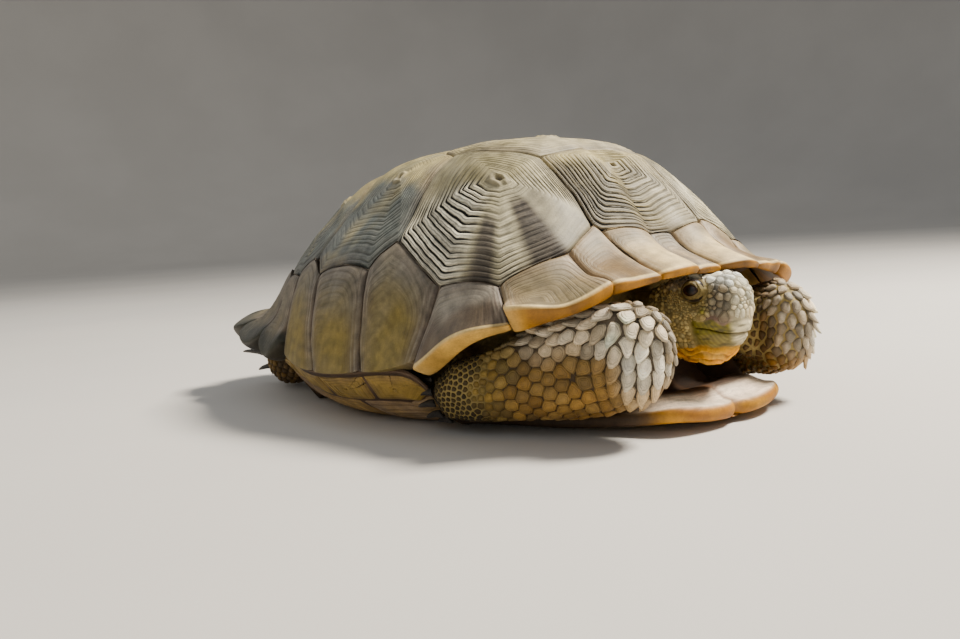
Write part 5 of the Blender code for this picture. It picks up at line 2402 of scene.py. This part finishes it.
@dataclass
class Coat:
    """One region's scales: spread over the skin, fitted to each other and joined.

    Attributes:
        name: Name of the piece.
        regions: Solids whose skin it covers.
        seed: Seed of its spread.
        slot: The record's material slot.
        spacing: Gives the distance between scales in metres.
        grows: Tells where scales grow.
        tone: Gives the colours.
        lie: Gives the way the scales point, in the row frame.
        style: Gives rows of thickness, tip length, lift, dome and gap.
        unwrap: Gives the share along and round the limb.
        bead: Shape of a scale.
        fixed: Body places and sizes of scales that are given one by one.
    """

    name: str
    regions: tuple[str, ...]
    seed: int
    slot: str
    spacing: PlaceReader
    grows: PlaceReader
    tone: PlaceReader
    lie: PlaceReader
    style: PlaceReader
    unwrap: PlaceReader
    bead: Bead = Bead()
    fixed: tuple[tuple[float, float, float, float], ...] = ()

    def build(self, skin: Skin, material: Material) -> Object:
        """Spread, fit and join the scales.

        Args:
            skin: The skin they grow on.
            material: Their finish.

        Returns:
            The piece.
        """
        self._gather(skin)
        roots = self._spread()
        mesh = self._dress(roots, skin)
        return keep(new_piece(self.name, mesh, material), self.slot)

    def _gather(self, skin: Skin) -> None:
        """Collect the region's triangles.

        Args:
            skin: The skin they are part of.
        """
        mesh = skin.piece.data
        mesh.calc_loop_triangles()
        spots = coordinates(mesh)
        flat = np.empty(len(mesh.loop_triangles) * 3, np.int32)
        mesh.loop_triangles.foreach_get("vertices", flat)
        faces = flat.reshape(-1, 3)
        middles = spots[faces].mean(axis=1)
        body = to_body(middles)
        wanted = np.flatnonzero(self.grows(body))
        others = self.regions + tuple(name for name in FLESH if name not in self.regions)
        region = skin.region_of(middles[wanted], others)
        faces = faces[wanted[region < len(self.regions)]]
        corners = spots[faces]
        cross = np.cross(corners[:, 1] - corners[:, 0], corners[:, 2] - corners[:, 0])
        self._corners = corners
        self._areas = np.linalg.norm(cross, axis=1) / 2
        self._tree = BVHTree.FromPolygons(spots.tolist(), faces.tolist())

    def _spread(self) -> Array:
        """Scatter roots by the spacing, then push them evenly apart.

        Returns:
            Rows of (x, y, z) in metres.
        """
        random = np.random.default_rng(self.seed)
        middles = self._corners.mean(axis=1)
        gaps = self.spacing(to_body(middles))
        chance = self._areas / (0.866 * gaps**2)
        count = max(int(1.06 * chance.sum()), 4)
        picks = random.choice(len(chance), size=count, p=chance / chance.sum())
        a, b = random.random((2, count, 1))
        flip = a + b > 1
        a, b = np.where(flip, 1 - a, a), np.where(flip, 1 - b, b)
        c = self._corners[picks]
        spots = c[:, 0] + (c[:, 1] - c[:, 0]) * a + (c[:, 2] - c[:, 0]) * b
        pinned = np.array([row[:3] for row in self.fixed], float).reshape(-1, 3)
        self._fixed_sizes = np.array([row[3] for row in self.fixed], float)
        if len(pinned):
            held, _ = nearest(self._tree, to_row(pinned))
            spots = np.vstack((held, spots))
        still = np.arange(len(spots)) < len(pinned)
        for _ in range(SETTLING):
            sizes = self._sizes(spots)
            wish = (sizes[:, None] + sizes[None, :]) * 0.50
            apart = spots[:, None, :] - spots[None, :, :]
            reach = np.linalg.norm(apart, axis=2) + np.eye(len(spots))
            push = np.clip(1 - reach / wish, 0, 1) * 0.22 * wish / reach
            np.fill_diagonal(push, 0.0)
            move = (apart * push[:, :, None]).sum(axis=1)
            far = np.linalg.norm(move, axis=1)
            move *= np.minimum(1, 0.3 * sizes / np.maximum(far, 1e-9))[:, None]
            move[still] = 0
            spots, _ = nearest(self._tree, spots + move)
        return spots

    def _sizes(self, spots: Array) -> Array:
        """Size of the scale at each root, where the listed ones come first.

        Args:
            spots: The roots, in metres.

        Returns:
            A size in metres for each.
        """
        sizes = self.spacing(to_body(spots))
        sizes[: len(self._fixed_sizes)] = self._fixed_sizes
        return sizes

    def _dress(self, roots: Array, skin: Skin) -> Mesh:
        """Shape a scale at each root, fitted between its neighbours.

        Args:
            roots: Rows of (x, y, z) in metres.
            skin: The skin they lie on.

        Returns:
            The joined mesh with its marks and its root map.
        """
        random = np.random.default_rng(self.seed + 1)
        roots, normal = nearest(self._tree, roots)
        body = to_body(roots)
        size = self._sizes(roots)
        lie = unit_rows(self.lie(body))
        along = unit_rows(lie - normal * (lie * normal).sum(axis=1)[:, None])
        across = np.cross(normal, along)
        ball, faces = self.bead.template()
        turn = np.arctan2(ball[:, 1], ball[:, 0])
        rho = np.hypot(ball[:, 0], ball[:, 1])
        top = ball[:, 2] > -0.05
        bearing = np.unique(np.round(turn[rho > 0.5], 5))
        which = np.abs(turn[:, None] - bearing[None, :]).argmin(axis=1)
        apart = roots[None, :, :] - roots[:, None, :]
        flat = np.stack(((apart * along[:, None, :]).sum(2), (apart * across[:, None, :]).sum(2)), axis=2)
        away = np.linalg.norm(apart, axis=2) > 2.2 * np.maximum(size[:, None], size[None, :])
        far = np.hypot(flat[..., 0], flat[..., 1]) + (away | np.eye(len(roots), dtype=bool)) * 9
        near = np.argsort(far, axis=1)[:, :NEIGHBOURS]
        rows = np.arange(len(roots))[:, None]
        toward, reach = flat[rows, near], far[rows, near]
        share = size[:, None] / (size[:, None] + size[near])
        ways = np.stack((np.cos(bearing), np.sin(bearing)))
        pull = np.maximum(0, toward @ ways) / (reach**2 * share)[:, :, None]
        limit = 1 / size[:, None]
        radius = ((pull**SQUARENESS).sum(axis=1) + limit**SQUARENESS) ** (-1 / SQUARENESS)
        thick, tip, lift, dome, gap = self.style(body).T
        radius = np.maximum(radius - gap[:, None], 0.15 * size[:, None])
        ahead = np.maximum(0, np.cos(bearing))
        radius = radius * (1 + tip[:, None] * ahead**3)
        rim = radius[:, which]
        ring = np.where(top, rho, np.minimum(rho, 0.999) * 0.94)[None, :] * np.ones((len(roots), 1))
        x, y = rim * ring * np.cos(turn), rim * ring * np.sin(turn)
        pointed = np.clip(tip, 0, 1)[:, None]
        y = y * (1 - 0.60 * pointed * np.clip(x / size[:, None], 0, 1) ** 1.2)
        lateral = roots[:, None, :] + along[:, None, :] * x[..., None] + across[:, None, :] * y[..., None]
        base, up = nearest(skin.tree, lateral.reshape(-1, 3))
        base, up = base.reshape(lateral.shape), up.reshape(lateral.shape)
        bent = step(0.0, 1.0, np.linalg.norm(base - lateral, axis=2) / (0.30 * size)[:, None])
        base = base + (lateral - base) * (bent * pointed)[..., None]
        up = unit_rows(up * 0.5 + normal[:, None, :] * 0.5)
        slope = np.clip(x / size[:, None] + 0.15, 0, 1.4)
        crown = np.sqrt(np.maximum(0, 1 - ring**7)) * (1 - dome[:, None]) + (1 - ring**2) * dome[:, None]
        raised = thick[:, None] * crown + (lift * size)[:, None] * slope**1.5
        tone = random.random(len(roots))
        hue = random.random((len(roots), 1, 1))
        raised = raised * (0.85 + 0.3 * tone)[:, None]
        under = (lift * size)[:, None] * slope**1.5 * 0.80 - 0.00035
        height = np.where(top, raised - 0.00012 * ring**6, under)
        points = base + up * height[..., None]
        points[..., 2] = np.maximum(points[..., 2], 0.0001)
        count = len(ball)
        tint = self.tone(to_body(base.reshape(-1, 3))).reshape(-1, count, 3)
        whole = self.tone(body)[:, None, :]
        tint = (whole * 0.6 + tint * 0.4) * (1 + (hue - 0.5) * np.array((0.08, -0.02, -0.16)))
        out = np.broadcast_to(rho, (len(roots), count))
        # Painted shade: the rim of each scale's top and all of its underside are darkened by the finish.
        sunk = np.where(top, step(0.90, 1.0, out) * 0.45, 1.0)
        lit = (1 + 0.22 * tip[:, None] * slope)[..., None]
        mesh = self._mesh(points, faces)
        mark(mesh, {
            "tint": np.clip((tint * lit).reshape(-1, 3), 0, 0.9), "out": out.ravel(),
            "sunk": sunk.ravel(), "tone": np.repeat(tone, count),
        })
        patch = self.unwrap(body)[:, None, :] + 0.0015 * np.stack(
            (ring * np.cos(turn), ring * np.sin(turn)), axis=2
        )
        layer = mesh.uv_layers.new(name="OFBake")
        corner = np.empty(len(mesh.loops), np.int32)
        mesh.loops.foreach_get("vertex_index", corner)
        layer.data.foreach_set("uv", patch.reshape(-1, 2)[corner].astype(np.float32).ravel())
        return mesh

    def _mesh(self, points: Array, faces: Array) -> Mesh:
        """Join all the scales.

        Args:
            points: For each scale, its points in metres.
            faces: The triangles of one scale.

        Returns:
            One mesh.
        """
        number, count = points.shape[:2]
        every = (faces[None] + (np.arange(number) * count)[:, None, None]).reshape(-1, 3)
        mesh = bpy.data.meshes.new(self.name)
        mesh.vertices.add(number * count)
        mesh.vertices.foreach_set("co", points.reshape(-1).astype(np.float32))
        mesh.loops.add(every.size)
        mesh.loops.foreach_set("vertex_index", every.ravel().astype(np.int32))
        mesh.polygons.add(len(every))
        mesh.polygons.foreach_set("loop_start", np.arange(0, every.size, 3, dtype=np.int32))
        mesh.update(calc_edges=True)
        mesh.validate()
        return mesh


def everywhere(*values: float) -> PlaceReader:
    """Give the same row of values at every place."""
    return lambda body: np.tile(values, (len(body), 1))


@dataclass(frozen=True)
class LimbMap:
    """Unrolls a limb: the share along it and the share round it.

    Attributes:
        start: How far forward its rear end lies, in UNITs.
        length: Its length.
        height: Height of its middle.
        line: A leg's middle line; none for the head and the tail.
        ends: Share at which it starts, and the share that its length takes.
    """

    start: float
    length: float
    height: float
    line: Place | None = None
    ends: Place = (0.04, 0.92)

    def at(self, body: Array) -> Array:
        """Read the map.

        Args:
            body: Rows of (forward, left, up).

        Returns:
            A row of two shares for each.
        """
        forward, left, up = body.T
        turn = np.arctan2(beside(body, self.line) if self.line else left, up - self.height)
        along = self.ends[0] + self.ends[1] * (forward - self.start) / self.length
        return np.column_stack((along, 0.5 + turn / 6.8))


class ForelegScales:
    """How the great scales of a foreleg vary over it."""

    def __init__(self, half: Half) -> None:
        """Take the side of the body."""
        self.side = half.value

    @staticmethod
    def outer(body: Array) -> Array:
        """How much each place lies on the outer face."""
        return step(-0.030, 0.010, beside(body, FORELEG_LINE))

    def spacing(self, body: Array) -> Array:
        """Distance between scales: large outside, small inside and at the wrist.

        Args:
            body: Rows of (forward, left, up).

        Returns:
            A distance in metres for each.
        """
        forward = body[:, 0]
        large = 0.0054 - 0.0028 * step(0.330, 0.270, forward) + 0.0002 * step(0.42, 0.46, forward)
        return np.where(self.outer(body) > 0.5, large, 0.0030 + 0.0016 * step(0.43, 0.47, forward))

    def grows(self, body: Array) -> Array:
        """Where the scales grow."""
        return (body[:, 1] * self.side > 0.085) & (body[:, 0] > 0.19)

    def lie(self, body: Array) -> Array:
        """The way the scales point: back over the elbow, down towards the foot.

        Args:
            body: Rows of (forward, left, up).

        Returns:
            A direction in the row frame for each.
        """
        pale = step(0.40, 0.46, body[:, 0])
        back = np.array((0.45 * self.side, 0.85, -0.25))
        over = step(0.150, 0.185, body[:, 2]) * (1 - pale)
        way = back * (1 - 0.65 * pale)[:, None] + (0.0, 0.0, -1.0) * (0.30 + 0.9 * pale)[:, None]
        return way + back * (over * 0.8)[:, None]

    def style(self, body: Array) -> Array:
        """Shape of the scales: thick and pointed at the elbow and along the edge.

        Args:
            body: Rows of (forward, left, up).

        Returns:
            A row of thickness, tip length, lift, dome and gap for each.
        """
        forward, _, up = body.T
        outer = self.outer(body)
        pale = step(0.430, 0.470, forward + 0.28 * (up - 0.13)) * np.maximum(outer, 0.6)
        strong = np.maximum(pale, step(0.130, 0.155, up - 0.08 * (forward - 0.35)) * outer)
        small = step(0.330, 0.26, forward)
        return np.column_stack((
            0.00070 + 0.0006 * strong - 0.00025 * small,
            0.16 + 0.85 * strong,
            0.16 + 0.22 * strong - 0.12 * small,
            0.20 + 0.35 * strong,
            0.00012 * strong + 0.00030 * small + 0.00060 * (1 - outer) * (1 - strong),
        ))


class HeadScales:
    """How the plates and granules of the head vary over it."""

    @staticmethod
    def spacing(body: Array) -> Array:
        """Distance between scales: plates on the crown and the snout, granules elsewhere.

        Args:
            body: Rows of (forward, left, up).

        Returns:
            A distance in metres for each.
        """
        forward, left, up = body.T
        near_eye = np.hypot(forward - EYE_PLACE[0], up - EYE_PLACE[2])
        size = 0.0020 + 0.0030 * step(0.184, 0.203, up) * step(0.44, 0.46, forward)
        size = size - 0.0003 * step(0.500, 0.512, forward) - 0.0005 * step(0.44, 0.42, forward)
        size = size + 0.0008 * step(0.472, 0.486, forward) * step(0.196, 0.186, up)
        size = size - 0.0007 * step(0.040, 0.028, near_eye) * (np.abs(left) > 0.03)
        return size * np.clip(1 + 0.40 * Wander(0.007, 82).at(to_row(body)), 0.6, 1.5)

    @staticmethod
    def grows(body: Array) -> Array:
        """Where the scales grow: not on the eyes, the nostrils, the beak and the throat.

        Args:
            body: Rows of (forward, left, up).

        Returns:
            True or False for each.
        """
        forward, left, up = body.T
        aside = np.abs(left)
        eye = (np.hypot((forward - EYE_PLACE[0] - 0.003), up - EYE_PLACE[2]) > 0.0203) | (aside < 0.030)
        nose = ((forward - NOSTRIL[0]) / 0.006) ** 2 + ((aside - NOSTRIL[1]) / 0.006) ** 2
        nose = nose + ((up - NOSTRIL[2]) / 0.007) ** 2
        lip = 0.1515 + 0.009 * step(0.468, 0.480, forward) + 0.003 * np.sin(forward * 260)
        beak = (up > lip) | (forward < 0.452)
        return eye & (nose > 1) & beak & (up > 0.113) & (forward > 0.385)

    @staticmethod
    def style(body: Array) -> Array:
        """Shape of the scales: flat, thicker on the crown."""
        top = step(0.180, 0.200, body[:, 2])
        rows = np.broadcast_arrays(0.00042 + 0.00028 * top, 0.0, 0.02, 0.40 + 0.2 * top, 0.00005)
        return np.column_stack(rows)


@dataclass
class Scales:
    """All the coats of scales and how each region wears them.

    Attributes:
        finish: Finish of the scales of the legs and the tail.
        head_finish: Finish of the head's.
        crown: Places on the left of the head, and sizes, of plates that are listed one by one.
    """

    finish: ScaleFinish = ScaleFinish("leg_scales")
    head_finish: ScaleFinish = ScaleFinish("head_scales", lines=2.0, rim=0.45, roughness=0.5)
    crown: tuple[tuple[float, float, float, float], ...] = (
        (0.5135, 0.0205, 0.1775, 0.0046), (0.4975, 0.0345, 0.1835, 0.0038),
        (0.4900, 0.0410, 0.1760, 0.0032), (0.4990, 0.0100, 0.2165, 0.0052),
        (0.4780, 0.0120, 0.2160, 0.0058), (0.4620, 0.0330, 0.2085, 0.0044),
        (0.4800, 0.0320, 0.2080, 0.0040), (0.4450, 0.0330, 0.2050, 0.0040),
        (0.4930, 0.0260, 0.2060, 0.0036),
    )

    def build(self, skin: Skin) -> None:
        """Build every coat.

        Args:
            skin: The skin they grow on.
        """
        material, head_material = self.finish.make(), self.head_finish.make()
        for half in Half:
            self._foreleg(half).build(skin, material)
            self._hindleg(half).build(skin, material)
        self._head().build(skin, head_material)
        self._tail().build(skin, material)

    @staticmethod
    def _foreleg(half: Half) -> Coat:
        """The great scales of a foreleg.

        Args:
            half: Its side of the body.

        Returns:
            The coat.
        """
        leg = ForelegScales(half)
        names = (f"foreleg_{half.word}_lower", f"foreleg_{half.word}_upper")
        return Coat(
            f"scales_foreleg_{half.word}", names, 40 + half.value, "scaled_skin", leg.spacing, leg.grows,
            Markings.foreleg, leg.lie, leg.style, LimbMap(0.18, 0.36, 0.105, FORELEG_LINE).at, Bead(14, 7),
        )

    @staticmethod
    def _hindleg(half: Half) -> Coat:
        """The scales of a hind leg, largest on its heel.

        Args:
            half: Its side of the body.

        Returns:
            The coat.
        """
        names = (f"hindleg_{half.word}_lower", f"hindleg_{half.word}_upper")
        return Coat(
            f"scales_hindleg_{half.word}", names, 60 + half.value, "scaled_skin",
            spacing=lambda body: 0.0040 - 0.0010 * step(0.060, 0.090, body[:, 2]),
            grows=lambda body: (body[:, 1] * half.value > 0.10) & (body[:, 0] < -0.22),
            tone=Markings.rear,
            lie=everywhere(0.2 * half.value, 0.6, -0.7),
            style=everywhere(0.0008, 0.2, 0.12, 0.35, 0.00022),
            unwrap=LimbMap(-0.50, 0.30, 0.07, HINDLEG_LINE).at,
            bead=Bead(10, 5),
        )

    def _head(self) -> Coat:
        """The plates and granules of the head.

        Returns:
            The coat.
        """
        fixed = [
            (ahead, aside * half.value, up, size)
            for half in Half for ahead, aside, up, size in self.crown
        ]
        return Coat(
            "scales_head", ("head", "neck"), 80, "head_skin", HeadScales.spacing, HeadScales.grows,
            Markings.head, everywhere(0.0, 1.0, -0.2), HeadScales.style, LimbMap(0.37, 0.17, 0.150).at,
            Bead(12, 6), tuple(fixed),
        )

    @staticmethod
    def _tail() -> Coat:
        """The small scales of the tail.

        Returns:
            The coat.
        """
        return Coat(
            "scales_tail", ("tail",), 90, "skin",
            spacing=lambda body: np.full(len(body), 0.0026),
            grows=lambda body: body[:, 0] < -0.36,
            tone=Markings.rear,
            lie=everywhere(0.0, 0.5, -0.8),
            style=everywhere(0.0005, 0.1, 0.08, 0.4, 0.00018),
            unwrap=LimbMap(-0.50, 0.16, 0.095, ends=(0.05, 0.9)).at,
            bead=Bead(9, 5),
        )


# ---------------------------------------------------------------- claws
@dataclass
class Claws:
    """The claws, smoothed from their solids.

    Attributes:
        finish: Their material.
        rounding: How often their faces are halved.
    """

    finish: ClawFinish = ClawFinish()
    rounding: int = 2

    def build(self) -> None:
        """Build each claw."""
        material = self.finish.make()
        for name in sorted(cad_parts):
            if "claw" not in name:
                continue
            shape = bmesh.new()
            shape.from_mesh(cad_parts[name].data)
            bmesh.ops.remove_doubles(shape, verts=shape.verts, dist=MERGE)
            bmesh.ops.recalc_face_normals(shape, faces=shape.faces)
            mesh = cast(shape, f"horn_{name}")
            ahead = coordinates(mesh)[:, 1]
            mark(mesh, {"tip": (ahead - ahead.min()) / (ahead.max() - ahead.min())})
            piece = new_piece(mesh.name, mesh, material)
            smooth = piece.modifiers.new("rounding", "SUBSURF")
            smooth.levels = smooth.render_levels = self.rounding
            keep(piece, "claws", name)


# ---------------------------------------------------------------- studio
@dataclass
class Studio:
    """Plain pale floor, soft lights and the camera.

    Attributes:
        stand: Place of the camera.
        view: Way it looks.
        right: Its right.
        lens: Its focal length in millimetres.
        floor: Radius of the flat floor.
        bend: Radius of the curve that leads up from it.
        wall: Height of the wall.
    """

    stand: tuple[float, float, float] = (-0.27581, -0.32555, 0.07632)
    view: tuple[float, float, float] = (0.62514, 0.77398, -0.10076)
    right: tuple[float, float, float] = (0.77295, -0.63183, -0.05778)
    lens: float = 33.75
    floor: float = 3.0
    bend: float = 1.2
    wall: float = 2.6

    def build(self) -> None:
        """Set the floor, the lights and the camera."""
        new_piece("studio_floor", self._bowl(), FloorFinish().make())
        world = bpy.data.worlds.new("studio")
        bpy.context.scene.world = world
        world.use_nodes = True
        background = world.node_tree.nodes["Background"]
        background.inputs["Color"].default_value = (0.90, 0.95, 1.0, 1.0)
        background.inputs["Strength"].default_value = 0.36
        self._light("key", (0.66, -0.42, 1.05), 0.30, 50.0, (1.0, 0.93, 0.81))
        self._light("fill", (-0.9, -0.75, 0.55), 0.9, 2.4, (0.92, 0.96, 1.0))
        self._light("back", (-0.35, 0.95, 0.8), 0.8, 3.0, (1.0, 0.97, 0.92))
        self._camera()

    def _bowl(self) -> Mesh:
        """A wide floor that curves up all round into a wall.

        Returns:
            Its mesh.
        """
        shape = bmesh.new()
        start = shape.verts.new((0, 0, 0))
        profile = [start, shape.verts.new((self.floor, 0, 0))]
        for share in range(1, 9):
            turn = share / 8 * math.pi / 2
            out, up = self.floor + self.bend * math.sin(turn), self.bend - self.bend * math.cos(turn)
            profile.append(shape.verts.new((out, 0, up)))
        profile.append(shape.verts.new((self.floor + self.bend, 0, self.wall)))
        edges = [shape.edges.new(pair) for pair in zip(profile, profile[1:])]
        bmesh.ops.spin(
            shape, geom=profile + edges, cent=(0, 0, 0), axis=(0, 0, 1), angle=2 * math.pi, steps=64,
            use_merge=True, dvec=(0, 0, 0),
        )
        bmesh.ops.remove_doubles(shape, verts=shape.verts, dist=1e-4)
        return cast(shape, "studio_floor")

    @staticmethod
    def _light(name: str, place: tuple[float, float, float], size: float, power: float,
               colour: Colour) -> None:
        """Add a soft light that looks at the body.

        Args:
            name: Its name.
            place: Where it stands.
            size: Its side in metres.
            power: Its power in watts.
            colour: Its colour.
        """
        light = bpy.data.lights.new(name, "AREA")
        light.shape, light.size, light.energy, light.color = "SQUARE", size, power, colour
        lamp = bpy.data.objects.new(name, light)
        bpy.context.scene.collection.objects.link(lamp)
        lamp.location = place
        lamp.rotation_euler = (Vector((0, 0, 0.05)) - lamp.location).to_track_quat("-Z", "Y").to_euler()

    def _camera(self) -> None:
        """Stand the camera at the front right, low."""
        data = bpy.data.cameras.new("view")
        data.lens, data.sensor_width, data.clip_start = self.lens, 36.0, 0.01
        camera = bpy.data.objects.new("view", data)
        bpy.context.scene.collection.objects.link(camera)
        right, view = Vector(self.right).normalized(), Vector(self.view).normalized()
        up = right.cross(view)
        turn = Matrix((right, up, -view)).transposed().to_4x4()
        camera.matrix_world = Matrix.Translation(self.stand) @ turn
        bpy.context.scene.camera = camera


def main() -> None:
    """Build the whole tortoise in its studio."""
    logging.basicConfig(level=logging.INFO, format="%(name)s: %(message)s")
    Studio().build()
    Shell().build()
    skin = Skin()
    skin.build()
    eye_material = EyeFinish().make()
    lid_material = SkinFinish("lid_skin", wrinkle=0.00025).make()
    for half in Half:
        Eye(half).build(skin, eye_material, lid_material)
    Scales().build(skin)
    Claws().build()


if __name__ == "__main__":
    main()
